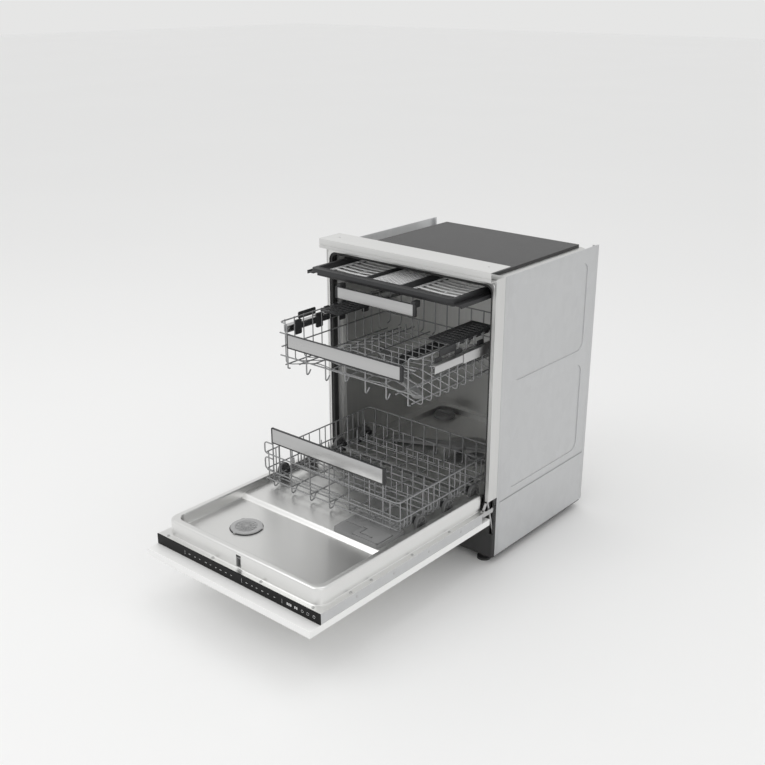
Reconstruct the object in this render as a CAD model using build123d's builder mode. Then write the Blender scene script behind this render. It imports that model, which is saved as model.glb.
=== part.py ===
# Integrated dishwasher with its white furniture panel, door open, racks drawn out.
# Millimetres. X runs across the machine, Y runs from the room into the machine, Z is up.
# The origin stands on the floor, centred across the width and over the whole depth
# from the open panel's front edge to the back of the body.
from build123d import *
from math import cos, radians, sin
import os

os.makedirs("parts", exist_ok=True)

# Driving sizes of the installed machine
body_width = 598.0
body_depth = 570.0  # front of the neighbouring cabinets to the back of the body
worktop_height = 875.0  # underside of the worktop, also the top edge of the closed panel
panel_width = 596.0
panel_height = 720.0
panel_thick = 19.0
hinge_inset = 41.5  # door hinge axis behind the front of the closed panel
hinge_height = 178.0
door_gap = 3.5  # closed door shell to the front of the body
arm_x = 287.8  # middle of each hinge arm, to the side

# How far each rack is drawn out at rest
lower_pull = 371.0
upper_pull = 302.0
tray_pull = 171.0

# Clearances
running_gap = 0.05
weld_gap = 0.05
rest_gap = 0.3

# Places that follow from the driving sizes
panel_reach = worktop_height - hinge_height - hinge_inset
front = (panel_reach - body_depth) / 2
back = front + body_depth
hinge_y = front + hinge_inset
half_width = body_width / 2


def open_z(depth):
    """Height, with the door open, of what lies this far behind the closed panel's face."""
    return hinge_height + depth - hinge_inset


def open_y(height):
    """Y place, with the door open, of what stands at this height on the closed door."""
    return hinge_y - (height - hinge_height)


def save(piece, name):
    piece.part.label = name
    export_step(piece.part, f"parts/{name}.step")


def box_between(low, high, mode=Mode.ADD):
    """A box from its lowest corner to its highest corner."""
    size = [b - a for a, b in zip(low, high)]
    middle = [(a + b) / 2 for a, b in zip(low, high)]
    with Locations(tuple(middle)):
        Box(*size, mode=mode)


# Wires of the racks are drawn with six flats
wire = 4.0
thin_wire = 3.2
weld_depth = 0.25  # share of a wire that a crossing wire sinks into it at the weld


def wires_along_x(spots, length, size=wire, middle=0.0):
    with BuildSketch(Plane.YZ.offset(middle)) as ends:
        with Locations(*spots):
            RegularPolygon(size / 2, 6)
    extrude(ends.sketch, amount=length / 2, both=True)


def wires_along_y(spots, near, far, size=wire):
    with BuildSketch(Plane.XZ.offset(-near)) as ends:
        with Locations(*spots):
            RegularPolygon(size / 2, 6)
    extrude(ends.sketch, amount=near - far)


def wires_along_z(spots, low, high, size=wire):
    with BuildSketch(Plane.XY.offset(low)) as ends:
        with Locations(*spots):
            RegularPolygon(size / 2, 6)
    extrude(ends.sketch, amount=high - low)


def bent_wires(points, places, size=wire):
    """One wire bent sharply at each point between its ends, repeated at each place."""
    with BuildLine() as path:
        Polyline(*points)
    along = Vector(*points[1]) - Vector(*points[0])
    with BuildSketch(Plane(origin=points[0], z_dir=along)) as end:
        RegularPolygon(size / 2, 6)
    one = sweep(
        end.sketch, path=path.wires()[0], transition=Transition.RIGHT, mode=Mode.PRIVATE
    )
    with Locations(*places):
        add(one)


def spread(low, high, count):
    """Evenly spaced places from low to high."""
    return [low + (high - low) * i / (count - 1) for i in range(count)]


# The door, lying open

# White furniture panel, screwed to the outside of the door
panel_low = open_z(0)
panel_top = open_z(panel_thick)
panel_front = open_y(worktop_height)
panel_end = open_y(worktop_height - panel_height)
panel_edge_radius = 1.2
with BuildPart() as furniture_panel:
    box_between(
        (-panel_width / 2, panel_front, panel_low),
        (panel_width / 2, panel_end, panel_top),
    )
    fillet(furniture_panel.edges(), panel_edge_radius)
save(furniture_panel, "furniture_panel")

# Square bar handle on two posts, fixed through the panel
handle_bar = 12.0
handle_length = 320.0
handle_stand = 34.0  # panel face to the far side of the bar
handle_edge = 62.0  # panel's top edge to the middle of the bar
handle_post_spacing = 256.0
with BuildPart() as panel_handle:
    bar_y = panel_front + handle_edge
    bar_low = panel_low - handle_stand
    box_between(
        (-handle_length / 2, bar_y - handle_bar / 2, bar_low),
        (handle_length / 2, bar_y + handle_bar / 2, bar_low + handle_bar),
    )
    with BuildSketch(Plane.XY.offset(bar_low + handle_bar)):
        with Locations((0, bar_y)):
            with GridLocations(handle_post_spacing, 1, 2, 1):
                Rectangle(handle_bar, handle_bar)
    extrude(amount=handle_stand - handle_bar)
    chamfer(panel_handle.edges().filter_by(Axis.X), 0.8)
save(panel_handle, "panel_handle")

# Door shell: a shallow folded tray, closed on top by the liner
sheet = 0.9
shell_width = 594.0
shell_depth_far = hinge_inset + 7.0  # closed depth of the shell's inner face
shell_low = panel_top + rest_gap
flange_top = open_z(shell_depth_far)
shell_top = flange_top - sheet
strip_thick = 3.0
strip_height_closed = worktop_height - 35.5
shell_front = open_y(strip_height_closed) + strip_thick
shell_end = hinge_y - 11.5
with BuildPart() as door_shell:
    box_between(
        (-shell_width / 2, shell_front, shell_low),
        (shell_width / 2, shell_end, shell_top),
    )
    fillet(door_shell.edges().filter_by(Axis.Z), 3.0)
    offset(amount=-sheet, openings=door_shell.faces().sort_by(Axis.Z)[-1])
    # Slots in the hinge end for the two hinge arms
    with BuildSketch(Plane.XZ.offset(-shell_end)):
        with Locations((0, hinge_height)):
            with GridLocations(2 * arm_x, 1, 2, 1):
                Rectangle(7.0, 30.0)
    extrude(amount=4.0, both=True, mode=Mode.SUBTRACT)
save(door_shell, "door_shell")

# Black control strip along the top edge of the closed door
with BuildPart() as control_strip:
    box_between(
        (-panel_width / 2, shell_front - strip_thick, shell_low),
        (panel_width / 2, shell_front - weld_gap, flange_top),
    )
    fillet(control_strip.edges().filter_by(Axis.X).group_by(Axis.Y)[0], 0.8)
save(control_strip, "control_strip")

# Stainless liner: flange, deep-drawn rim, pan floor in two levels, rolled hinge end
rim_half = 280.0
rim_front = shell_front + 16.0
rim_top = open_z(94.0)
rim_corner = 30.0
rim_land = 21.0  # width of the rim's flat top
pan_corner = 24.0
pan_floor = flange_top + 15.0
plateau = flange_top + 27.0
step_y = rim_front + 260.0
roll_radius = plateau - hinge_height
skin = 1.1
inner_half = rim_half - rim_land
inner_front = rim_front + rim_land
slot_width = 28.0
slot_top = plateau - 1.0
rim_joint = 0.05  # cut between the lengths of the rim
dispenser_x = 156.0
dispenser_y = front - 285.0
dispenser_well = 140.0
dispenser_well_depth = 98.0
vent_x = -121.0
vent_y = front - 462.0
vent_radius = 43.0
vent_bore = 30.0
with BuildPart() as pressing:
    # flange all round
    box_between(
        (-shell_width / 2, shell_front, shell_top),
        (shell_width / 2, shell_end, flange_top),
    )
    # rim block
    with BuildSketch(Plane.XY.offset(shell_top)):
        with BuildLine():
            FilletPolyline(
                (rim_half, hinge_y),
                (rim_half, rim_front),
                (-rim_half, rim_front),
                (-rim_half, hinge_y),
                radius=rim_corner,
            )
            Line((-rim_half, hinge_y), (rim_half, hinge_y))
        make_face()
    extrude(amount=rim_top - shell_top)
    fillet(
        pressing.edges().group_by(Axis.Z)[-1].filter_by(
            lambda e: e.center().Y < hinge_y - 1
        ),
        7.0,
    )
    # pan, front part deep, rear part a plateau for the wheels and the dispenser
    with BuildSketch(Plane.XY.offset(plateau)):
        with BuildLine():
            FilletPolyline(
                (inner_half, hinge_y + 1),
                (inner_half, inner_front),
                (-inner_half, inner_front),
                (-inner_half, hinge_y + 1),
                radius=pan_corner,
            )
            Line((-inner_half, hinge_y + 1), (inner_half, hinge_y + 1))
        make_face()
    extrude(amount=rim_top - plateau + 1, mode=Mode.SUBTRACT)
    with BuildSketch(Plane.XY.offset(pan_floor)):
        with Locations((0, (inner_front + step_y) / 2)):
            RectangleRounded(2 * inner_half - 16, step_y - inner_front - 8, pan_corner)
    extrude(amount=plateau - pan_floor, mode=Mode.SUBTRACT)
    # hollow from below, leaving one skin under the pan, the plateau and the rim
    with BuildSketch(Plane.XY.offset(shell_top)):
        with Locations((0, (rim_front + hinge_y) / 2)):
            RectangleRounded(
                2 * (rim_half - skin), hinge_y - rim_front - 2 * skin, rim_corner
            )
    extrude(amount=pan_floor - shell_top - skin, mode=Mode.SUBTRACT)
    with BuildSketch(Plane.XY.offset(shell_top)):
        with Locations((0, (step_y + hinge_y) / 2)):
            Rectangle(2 * inner_half, hinge_y - step_y - 2 * skin)
    extrude(amount=plateau - shell_top - skin, mode=Mode.SUBTRACT)
    for wall, ceiling in ((skin, rim_top - 8.0), (4 * skin, rim_top - skin)):
        with BuildSketch(Plane.XY.offset(shell_top)) as hollow:
            with BuildLine():
                Polyline(
                    (rim_half - wall, hinge_y - skin),
                    (rim_half - wall, rim_front + wall),
                    (-rim_half + wall, rim_front + wall),
                    (-rim_half + wall, hinge_y - skin),
                    (-inner_half - wall, hinge_y - skin),
                    (-inner_half - wall, inner_front - wall),
                    (inner_half + wall, inner_front - wall),
                    (inner_half + wall, hinge_y - skin),
                    close=True,
                )
            make_face()
            fillet(hollow.vertices().group_by(Axis.Y)[0], rim_corner - wall)
        extrude(amount=ceiling - shell_top, mode=Mode.SUBTRACT)
    # slot for the lock, and openings for the dispenser and the vent
    with BuildSketch(Plane.XZ.offset(-rim_front)):
        with Locations((0, (flange_top + slot_top) / 2)):
            Rectangle(slot_width, slot_top - flange_top + 1)
    extrude(amount=8.0, both=True, mode=Mode.SUBTRACT)
    box_between(
        (
            dispenser_x - dispenser_well / 2,
            dispenser_y - dispenser_well_depth / 2,
            shell_top - 1,
        ),
        (
            dispenser_x + dispenser_well / 2,
            dispenser_y + dispenser_well_depth / 2,
            plateau + 1,
        ),
        mode=Mode.SUBTRACT,
    )
    with Locations((vent_x, vent_y, pan_floor)):
        Cylinder(vent_bore + 2.0, 20.0, mode=Mode.SUBTRACT)
    # hinge end rolls down round the hinge axis
    with BuildSketch(Plane.YZ.offset(-inner_half)):
        with BuildLine():
            roll_end = radians(50)
            inner_roll = roll_radius - skin
            Line((hinge_y, hinge_height + roll_radius), (hinge_y, hinge_height + inner_roll))
            CenterArc((hinge_y, hinge_height), inner_roll, 40, 50)
            Line(
                (
                    hinge_y + inner_roll * sin(roll_end),
                    hinge_height + inner_roll * cos(roll_end),
                ),
                (
                    hinge_y + roll_radius * sin(roll_end),
                    hinge_height + roll_radius * cos(roll_end),
                ),
            )
            CenterArc((hinge_y, hinge_height), roll_radius, 40, 50)
        make_face()
    extrude(amount=2 * inner_half)

# The pressing is parted at the level of the plateau: pan below, raised rim above
with BuildPart() as door_liner:
    add(pressing.part)
    split(bisect_by=Plane.XY.offset(plateau), keep=Keep.BOTTOM)
save(door_liner, "door_liner")

# Raised rim in five lengths: front, two corners and two sides
with BuildPart() as door_rim:
    add(pressing.part)
    split(bisect_by=Plane.XY.offset(plateau), keep=Keep.TOP)
    for joint_y in (inner_front, inner_front + pan_corner):
        box_between(
            (-rim_half - 1, joint_y, plateau - 1),
            (rim_half + 1, joint_y + rim_joint, rim_top + 1),
            mode=Mode.SUBTRACT,
        )
save(door_rim, "door_rim")

# Lock behind the slot of the rim
with BuildPart() as door_lock:
    lock_y = rim_front + skin + rest_gap
    box_between((-32, lock_y, shell_top - 14), (32, lock_y + 15, slot_top + 4))
    box_between(
        (-6, lock_y - 1, flange_top + 3), (6, lock_y + 9, slot_top + 1), mode=Mode.SUBTRACT
    )
save(door_lock, "door_lock")

# Detergent dispenser: grey housing let into the plateau
dispenser_width = 158.0
dispenser_length = 116.0
dispenser_rise = 10.0
cup_x = dispenser_x + 30.0
cup_y = dispenser_y - 21.0
cup_width = 78.0
cup_length = 56.0
cup_depth = 26.0
cap_x = dispenser_x - 52.0
cap_y = dispenser_y + 34.0
cap_radius = 17.0
lid_barrel = 1.5
with BuildPart() as dispenser_body:
    with BuildSketch(Plane.XY.offset(plateau)):
        with Locations((dispenser_x, dispenser_y)):
            RectangleRounded(dispenser_width, dispenser_length, 12)
    extrude(amount=dispenser_rise, taper=8)
    fillet(dispenser_body.faces().sort_by(Axis.Z)[-1].edges(), 2.0)
    dispenser_top = plateau + dispenser_rise
    box_between(
        (
            dispenser_x - dispenser_well / 2 + 1,
            dispenser_y - dispenser_well_depth / 2 + 1,
            shell_low + 4,
        ),
        (
            dispenser_x + dispenser_well / 2 - 1,
            dispenser_y + dispenser_well_depth / 2 - 1,
            plateau,
        ),
    )
    with BuildSketch(Plane.XY.offset(dispenser_top)):
        with Locations((cup_x, cup_y)):
            RectangleRounded(cup_width, cup_length, 8)
    extrude(amount=-cup_depth, mode=Mode.SUBTRACT)
    with BuildSketch(Plane.XY.offset(dispenser_top)):
        with Locations((cup_x, cup_y)):
            RectangleRounded(cup_width + 10, cup_length + 8, 8)
    extrude(amount=-2.6, mode=Mode.SUBTRACT)
    with Locations((cap_x, cap_y, dispenser_top)):
        CounterBoreHole(9.0, cap_radius + 0.6, 3.0, 20.0)
save(dispenser_body, "dispenser_body")

# Flap over the detergent cup, hinged along its front edge
with BuildPart() as detergent_lid:
    with BuildSketch(Plane.XY.offset(dispenser_top - 2.3)):
        with Locations((cup_x, cup_y)):
            RectangleRounded(cup_width + 9, cup_length + 7, 7.5)
    extrude(amount=4.0)
    fillet(detergent_lid.faces().sort_by(Axis.Z)[-1].edges(), 1.2)
    with BuildSketch(Plane.XY.offset(dispenser_top + 1.7)):
        with Locations((cup_x + 18, cup_y)):
            RectangleRounded(22, 34, 5)
    extrude(amount=-1.4, mode=Mode.SUBTRACT)
    # barrel on the hinge axis along the front edge
    with BuildSketch(Plane.YZ.offset(cup_x)):
        with Locations((cup_y - (cup_length + 7) / 2, dispenser_top + 1.7)):
            Circle(lid_barrel)
    extrude(amount=cup_width / 2 - 8, both=True)
save(detergent_lid, "detergent_lid")

# Quarter-turn cap of the rinse-aid tank
with BuildPart() as rinse_aid_cap:
    with Locations((cap_x, cap_y, dispenser_top - 1.3)):
        Cylinder(cap_radius, 3.0)
    with Locations((cap_x, cap_y, dispenser_top - 8.0)):
        Cylinder(8.7, 12.0)
    box_between(
        (cap_x - 13, cap_y - 2.2, dispenser_top), (cap_x + 13, cap_y + 2.2, dispenser_top + 2.6)
    )
save(rinse_aid_cap, "rinse_aid_cap")

# Round vent with a slotted grille in the deep part of the pan
with BuildPart() as door_vent:
    with Locations((vent_x, vent_y, pan_floor + 2.5)):
        Cylinder(vent_radius, 5.0)
    fillet(door_vent.faces().sort_by(Axis.Z)[-1].edges(), 2.0)
    with Locations((vent_x, vent_y, pan_floor - 5.0)):
        Cylinder(vent_bore + 1.0, 10.0)
    with Locations((vent_x, vent_y, pan_floor - 2.0)):
        Cylinder(vent_bore - 3.0, 16.0, mode=Mode.SUBTRACT)
    with BuildSketch(Plane.XY.offset(pan_floor + 1.0)):
        with Locations((vent_x, vent_y)):
            with GridLocations(9.0, 1, 6, 1):
                Rectangle(2.4, 2 * vent_bore - 4)
            with GridLocations(1, 9.0, 1, 6):
                Rectangle(2 * vent_bore - 4, 2.4)
            Circle(vent_bore - 2, mode=Mode.INTERSECT)
    extrude(amount=2.4)
    with BuildSketch(Plane.XY.offset(pan_floor)):
        with Locations((vent_x, vent_y)):
            with PolarLocations(vent_radius, 3, 30):
                Circle(6.0)
    extrude(amount=5.0)
save(door_vent, "door_vent")

# Screws that hold liner and shell together
screw_head = 4.2
screw_side_x = 288.5
screw_side_spots = [front - 503, front - 428, front - 269, front - 111]
screw_front_y = shell_front + 8.0
screw_front_spots = [-265, -88, 88, 265]
with BuildPart() as door_screws:
    with BuildSketch(Plane.XY.offset(flange_top)):
        with Locations(*[(x, screw_front_y) for x in screw_front_spots]):
            Circle(screw_head)
        with Locations(*[(screw_side_x, y) for y in screw_side_spots]):
            Circle(screw_head)
        with Locations(*[(-screw_side_x, y) for y in screw_side_spots]):
            Circle(screw_head)
    extrude(amount=2.0)
save(door_screws, "door_screws")

# Hinge arms inside the door's two sides, with hub and spring tail
arm_thick = 3.0
pin_radius = 5.0
hub_radius = 11.0
tail_radius = 30.0
tail_angle = 60.0
arm_foot = shell_low + sheet + rest_gap
with BuildPart() as hinge_arms:
    for side in (-1, 1):
        with BuildSketch(Plane.YZ.offset(side * arm_x)):
            with Locations((hinge_y, hinge_height)):
                Circle(hub_radius)
            with Locations((hinge_y - 95, hinge_height - 6)):
                Rectangle(190, 12)
            with Locations((hinge_y - 105, (arm_foot + hinge_height) / 2)):
                Rectangle(170, hinge_height - arm_foot)
            with Locations((hinge_y, hinge_height)):
                with PolarLocations(tail_radius / 2, 1, tail_angle):
                    Rectangle(tail_radius, 9)
                Circle(pin_radius + running_gap, mode=Mode.SUBTRACT)
        extrude(amount=arm_thick / 2, both=True)
save(hinge_arms, "hinge_arms")

# The body that stands still: mouth, tub, runners, base and door hinges


def mouth_sketch(half, top, low, corner, place):
    """A doorway shape, square below and rounded above, on a plane across the machine."""
    with BuildSketch(Plane.XZ.offset(-place)) as doorway:
        with BuildLine():
            FilletPolyline(
                (-half, low), (-half, top), (half, top), (half, low), radius=corner
            )
            Line((half, low), (-half, low))
        make_face()
    return doorway.sketch


# Front frame: flange round the tub mouth
frame_y = front + shell_depth_far + door_gap
frame_thick = 2.0
mouth_half = 287.0
mouth_top = worktop_height - 46.5
mouth_low = plateau + rest_gap
mouth_corner = 24.0
frame_top = mouth_top + 17.5
frame_return = 40.0
with BuildPart() as front_frame:
    box_between(
        (-half_width, frame_y, mouth_low), (half_width, frame_y + frame_thick, frame_top)
    )
    opening = mouth_sketch(mouth_half, mouth_top, mouth_low - 1, mouth_corner, frame_y + 4)
    extrude(opening, amount=8.0, mode=Mode.SUBTRACT)
    for side in (-1, 1):
        edge = side * (half_width - frame_thick / 2)
        box_between(
            (edge - frame_thick / 2, frame_y, mouth_low),
            (edge + frame_thick / 2, frame_y + frame_return, frame_top),
        )
save(front_frame, "front_frame")

# Top rail above the tub, with two holes for the worktop screws
rail_y = front + panel_thick + 5.0
rail_top = worktop_height - 5.0
rail_low = worktop_height - 33.0
tab_spacing = 520.0
tab_hole = 2.6
tab_y = rail_y + 45.0
with BuildPart() as top_rail:
    box_between((-half_width, rail_y, rail_low), (half_width, rail_y + 2, rail_top))
    box_between((-half_width, rail_y, rail_top - 2), (half_width, front + 110, rail_top))
    box_between(
        (-half_width, rail_y, rail_low), (half_width, frame_y - weld_gap, rail_low + 2)
    )
    with BuildSketch(Plane.XY.offset(rail_top)):
        with Locations((0, tab_y)):
            with GridLocations(tab_spacing, 1, 2, 1):
                Circle(tab_hole)
    extrude(amount=-4.0, mode=Mode.SUBTRACT)
save(top_rail, "top_rail")

# Tub wrapper: one folded sheet for left wall, ceiling and right wall, stepped at the mouth
tub_half = 272.0
tub_wall = 1.1
tub_corner = 30.0
tub_front = front + 105.0
tub_rear = back - 6.0
tub_top = mouth_top
tub_low = plateau - 14.0
with BuildPart() as tub_wrapper:
    mouth_start = frame_y + frame_thick + weld_gap
    outside_top = tub_top + tub_wall
    collar = mouth_sketch(
        mouth_half + tub_wall, outside_top, mouth_low, mouth_corner + 2, tub_front
    )
    extrude(collar, amount=tub_front - mouth_start)
    mouth = mouth_sketch(
        mouth_half, tub_top, mouth_low - 1, mouth_corner, tub_front - tub_wall
    )
    extrude(mouth, amount=tub_front, mode=Mode.SUBTRACT)
    outside = mouth_sketch(tub_half + tub_wall, outside_top, tub_low, tub_corner + 2, tub_rear)
    extrude(outside, amount=tub_rear - tub_front)
    inside = mouth_sketch(tub_half, tub_top, tub_low - 1, tub_corner, tub_rear + 1)
    extrude(inside, amount=tub_rear - tub_front + 5, mode=Mode.SUBTRACT)
save(tub_wrapper, "tub_wrapper")

with BuildPart() as tub_back:
    back_face = tub_rear + weld_gap + tub_wall
    sheet_outline = mouth_sketch(
        tub_half + tub_wall, tub_top + tub_wall, tub_low, tub_corner + 2, back_face
    )
    extrude(sheet_outline, amount=tub_wall)
save(tub_back, "tub_back")

# Tub floor: wheel tracks round a sunk tray, with a funnel down to the sump
track = plateau + rest_gap
sill_y = front + 80.0
sill_half = inner_half - 1.5
wide_floor_y = front + 98.0
sunk_half = 238.0
sunk_front = front + 94.0
sunk_rear = back - 24.0
sunk_floor = track - 19.0
sump_x = 30.0
sump_y = front + 325.0
sump_plane = Plane(origin=(sump_x, sump_y, 0), x_dir=(1, 0, 0), z_dir=(0, -1, 0))
funnel_radius = 112.0
sump_radius = 74.0
funnel_drop = 15.0
with BuildPart() as tub_floor:
    box_between(
        (-tub_half + weld_gap, wide_floor_y, track - skin),
        (tub_half - weld_gap, tub_rear - weld_gap, track),
    )
    box_between((-sill_half, sill_y, track - skin), (sill_half, wide_floor_y, track))
    sunk_middle = (sunk_front + sunk_rear) / 2
    with BuildSketch(Plane.XY.offset(sunk_floor - skin)):
        with Locations((0, sunk_middle)):
            RectangleRounded(2 * sunk_half + 2 * skin, sunk_rear - sunk_front + 2 * skin, 26)
    extrude(amount=track - sunk_floor + skin)
    with BuildSketch(Plane.XY.offset(sunk_floor)):
        with Locations((0, sunk_middle)):
            RectangleRounded(2 * sunk_half, sunk_rear - sunk_front, 25)
    extrude(amount=40.0, mode=Mode.SUBTRACT)
    with Locations((sump_x, sump_y, sunk_floor - skin / 2)):
        Cylinder(funnel_radius, 3 * skin, mode=Mode.SUBTRACT)
    with BuildSketch(sump_plane):
        with BuildLine():
            Polyline(
                (funnel_radius, sunk_floor),
                (funnel_radius, sunk_floor - skin),
                (sump_radius, sunk_floor - skin - funnel_drop),
                (sump_radius, sunk_floor - funnel_drop),
                close=True,
            )
        make_face()
    revolve(axis=Axis((sump_x, sump_y, 0), (0, 0, 1)))
    box_between((-sill_half, sill_y, track - 22), (sill_half, sill_y + skin, track))
save(tub_floor, "tub_floor")

# Rubber seals: one round the mouth, one lip under the sill
seal_gap = 0.7
seal_low = mouth_low + 2.0
with BuildPart() as door_seal:
    seal_front = frame_y + 3.0
    seal_end = seal_front + 13.0
    outer = mouth_sketch(mouth_half - 0.1, mouth_top - 0.1, seal_low, mouth_corner, seal_end)
    extrude(outer, amount=13.0)
    inner = mouth_sketch(
        rim_half + seal_gap, mouth_top - 6.0, seal_low - 1, mouth_corner - 4, seal_end + 1
    )
    extrude(inner, amount=15.0, mode=Mode.SUBTRACT)
    box_between(
        (-inner_half + 2, sill_y - 3.2, track - 22), (inner_half - 2, sill_y - 0.2, track - 4)
    )
save(door_seal, "door_seal")

# Places of the water connections at the back
inlet_x = 200.0
drain_x = 242.0
connection_z = 74.0
inlet_radius = 13.2
drain_radius = 9.5

# Base: black moulded tray that carries tub, hinges and feet
base_half = half_width - 1.7
base_front = front + 84.0
base_rear = back - 2.0
base_low = 22.0
base_top = track - 24.3
base_wall = 3.0
with BuildPart() as base_tray:
    box_between((-base_half, base_front, base_low), (base_half, base_rear, base_top))
    fillet(base_tray.edges().filter_by(Axis.Z), 8.0)
    offset(amount=-base_wall, openings=base_tray.faces().sort_by(Axis.Z)[-1])
    for side in (-1, 1):
        box_between(
            (side * 289.0 - 6.0, base_front - 1, 96.0),
            (side * 289.0 + 6.0, base_front + 9, base_top + 1),
            mode=Mode.SUBTRACT,
        )
    # upright ribs on the front, and the window for the water connections at the back
    with BuildSketch(Plane.XZ.offset(-base_front)):
        with Locations((0, 95.0)):
            with GridLocations(60.0, 1, 7, 1):
                Rectangle(4.0, 90.0)
    extrude(amount=2.0)
    box_between(
        (inlet_x - 32, base_rear - base_wall - 1, connection_z - 32),
        (drain_x + 28, base_rear + 1, connection_z + 32),
        mode=Mode.SUBTRACT,
    )
save(base_tray, "base_tray")

# Four levelling feet: pad, stud and nut
foot_x = 255.0
foot_front_y = front + 106.0
foot_rear_y = back - 45.0
foot_radius = 20.0
with BuildPart() as levelling_feet:
    feet = [(x, y) for x in (-foot_x, foot_x) for y in (foot_front_y, foot_rear_y)]
    for size, low, high in ((foot_radius, 0, 7), (6, 7, base_low - rest_gap), (11, 13, 19)):
        with BuildSketch(Plane.XY.offset(low)):
            with Locations(*feet):
                if size == 11:
                    RegularPolygon(size, 6)
                else:
                    Circle(size)
        extrude(amount=high - low)
save(levelling_feet, "levelling_feet")

# Galvanised side panels
side_low = base_low + 4.0
side_sheet = 0.9
with BuildPart() as side_panels:
    for side in (-1, 1):
        edge = side * (half_width - side_sheet / 2 - weld_gap)
        box_between(
            (edge - side_sheet / 2, frame_y + frame_return + 1, side_low),
            (edge + side_sheet / 2, back, rail_low + 2),
        )
save(side_panels, "side_panels")

# Felt and bitumen mats on the two tub walls and the ceiling
mat = 9.0
with BuildPart() as insulation:
    mat_front = tub_front + 4.0
    mat_x = tub_half + tub_wall + rest_gap
    for side in (-1, 1):
        box_between(
            (side * (mat_x + mat / 2) - mat / 2, mat_front, tub_low + 60),
            (side * (mat_x + mat / 2) + mat / 2, tub_rear - 10, tub_top - tub_corner),
        )
    mat_low = tub_top + tub_wall + rest_gap
    box_between(
        (-tub_half + tub_corner, mat_front, mat_low),
        (tub_half - tub_corner, tub_rear - 10, mat_low + mat),
    )
save(insulation, "insulation")

# Cast counterweight low down at the back
with BuildPart() as counterweight:
    box_between(
        (-170, base_rear - base_wall - 62, base_low + base_wall + rest_gap),
        (170, base_rear - base_wall - rest_gap, base_low + base_wall + 58),
    )
    fillet(counterweight.edges().filter_by(Axis.X), 4.0)
save(counterweight, "counterweight")

# Sump bowl under the funnel, with the feed post of the lower spray arm and a pump spigot
sump_low = 96.0
sump_wall = 3.0
sump_top = sunk_floor - skin - funnel_drop - weld_gap
post_radius = 11.0
neck_radius = 8.0
arm_low = sunk_floor + 6.0
arm_height = 10.0
spigot_z = sump_low + 24.0
pump_face = -118.0
with BuildPart() as sump:
    with BuildSketch(sump_plane):
        with BuildLine():
            Polyline(
                (0, sump_low),
                (48, sump_low),
                (sump_radius - 4, sump_low + 18),
                (sump_radius - 2, sump_top - 3),
                (sump_radius + 8, sump_top - 3),
                (sump_radius + 8, sump_top),
                (sump_radius - 5, sump_top),
                (sump_radius - 4 - sump_wall, sump_low + 20),
                (46, sump_low + sump_wall),
                (0, sump_low + sump_wall),
                close=True,
            )
        make_face()
    revolve(axis=Axis((sump_x, sump_y, 0), (0, 0, 1)))
    with Locations((0, sump_y, sump_low + 1)):
        Cylinder(
            post_radius,
            arm_low - rest_gap - sump_low - 1,
            align=(Align.CENTER, Align.CENTER, Align.MIN),
        )
        Cylinder(
            neck_radius,
            arm_low + arm_height - 3 - sump_low - 1,
            align=(Align.CENTER, Align.CENTER, Align.MIN),
        )
    with BuildSketch(Plane.YZ.offset(pump_face)):
        with Locations((sump_y, spigot_z)):
            Circle(16.0)
    extrude(amount=sump_x - sump_radius + 8 - pump_face)
save(sump, "sump")

# Circulation pump lying beside the sump, on two feet of the base
pump_z = spigot_z
pump_x = pump_face
with BuildPart() as wash_pump:
    with Locations((pump_x - 20.3, sump_y, pump_z)):
        Cylinder(48, 40, rotation=(0, 90, 0))
    with Locations((pump_x - 85.3, sump_y, pump_z)):
        Cylinder(40, 92, rotation=(0, 90, 0))
    box_between(
        (pump_x - 110, sump_y - 22, base_low + base_wall + rest_gap),
        (pump_x - 70, sump_y + 22, pump_z - 20),
    )
save(wash_pump, "wash_pump")

# Fine filter plate, pierced for the feed post and the filter cup
filter_radius = 29.0
filter_x = sump_x + 34.0
plate_z = sump_top + rest_gap
with BuildPart() as filter_plate:
    with BuildSketch(Plane.XY.offset(plate_z)):
        with Locations((sump_x, sump_y)):
            Circle(sump_radius - 1.5)
        with Locations((0, sump_y)):
            Circle(post_radius + 0.4, mode=Mode.SUBTRACT)
        with Locations((filter_x, sump_y)):
            Circle(filter_radius + 0.4, mode=Mode.SUBTRACT)
    extrude(amount=2.0)
save(filter_plate, "filter_plate")

# Filter cup, turned to release it, with its bridge grip
cup_bottom = sump_low + 22.0
cup_rim = plate_z + 10.0
with BuildPart() as filter_cup:
    with Locations((filter_x, sump_y, cup_bottom)):
        Cylinder(
            filter_radius, cup_rim - cup_bottom, align=(Align.CENTER, Align.CENTER, Align.MIN)
        )
    with Locations((filter_x, sump_y, cup_bottom + 2)):
        Cylinder(
            filter_radius - 2.5,
            cup_rim - cup_bottom,
            align=(Align.CENTER, Align.CENTER, Align.MIN),
            mode=Mode.SUBTRACT,
        )
    box_between(
        (filter_x - filter_radius + 1, sump_y - 3, cup_rim - 14),
        (filter_x + filter_radius - 1, sump_y + 3, cup_rim),
    )
    with Locations((filter_x, sump_y, (cup_bottom + cup_rim) / 2 - 6)):
        with PolarLocations(filter_radius, 12, 15):
            Box(6.0, 5.0, 34.0, mode=Mode.SUBTRACT)
save(filter_cup, "filter_cup")

# Screw cap of the salt tank in the tub floor
salt_x = -198.0
salt_y = front + 505.0
with BuildPart() as salt_cap:
    with Locations((salt_x, salt_y, sunk_floor + rest_gap)):
        Cylinder(36, 11, align=(Align.CENTER, Align.CENTER, Align.MIN))
    box_between(
        (salt_x - 28, salt_y - 4, sunk_floor + 11), (salt_x + 28, salt_y + 4, sunk_floor + 20)
    )
save(salt_cap, "salt_cap")

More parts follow.
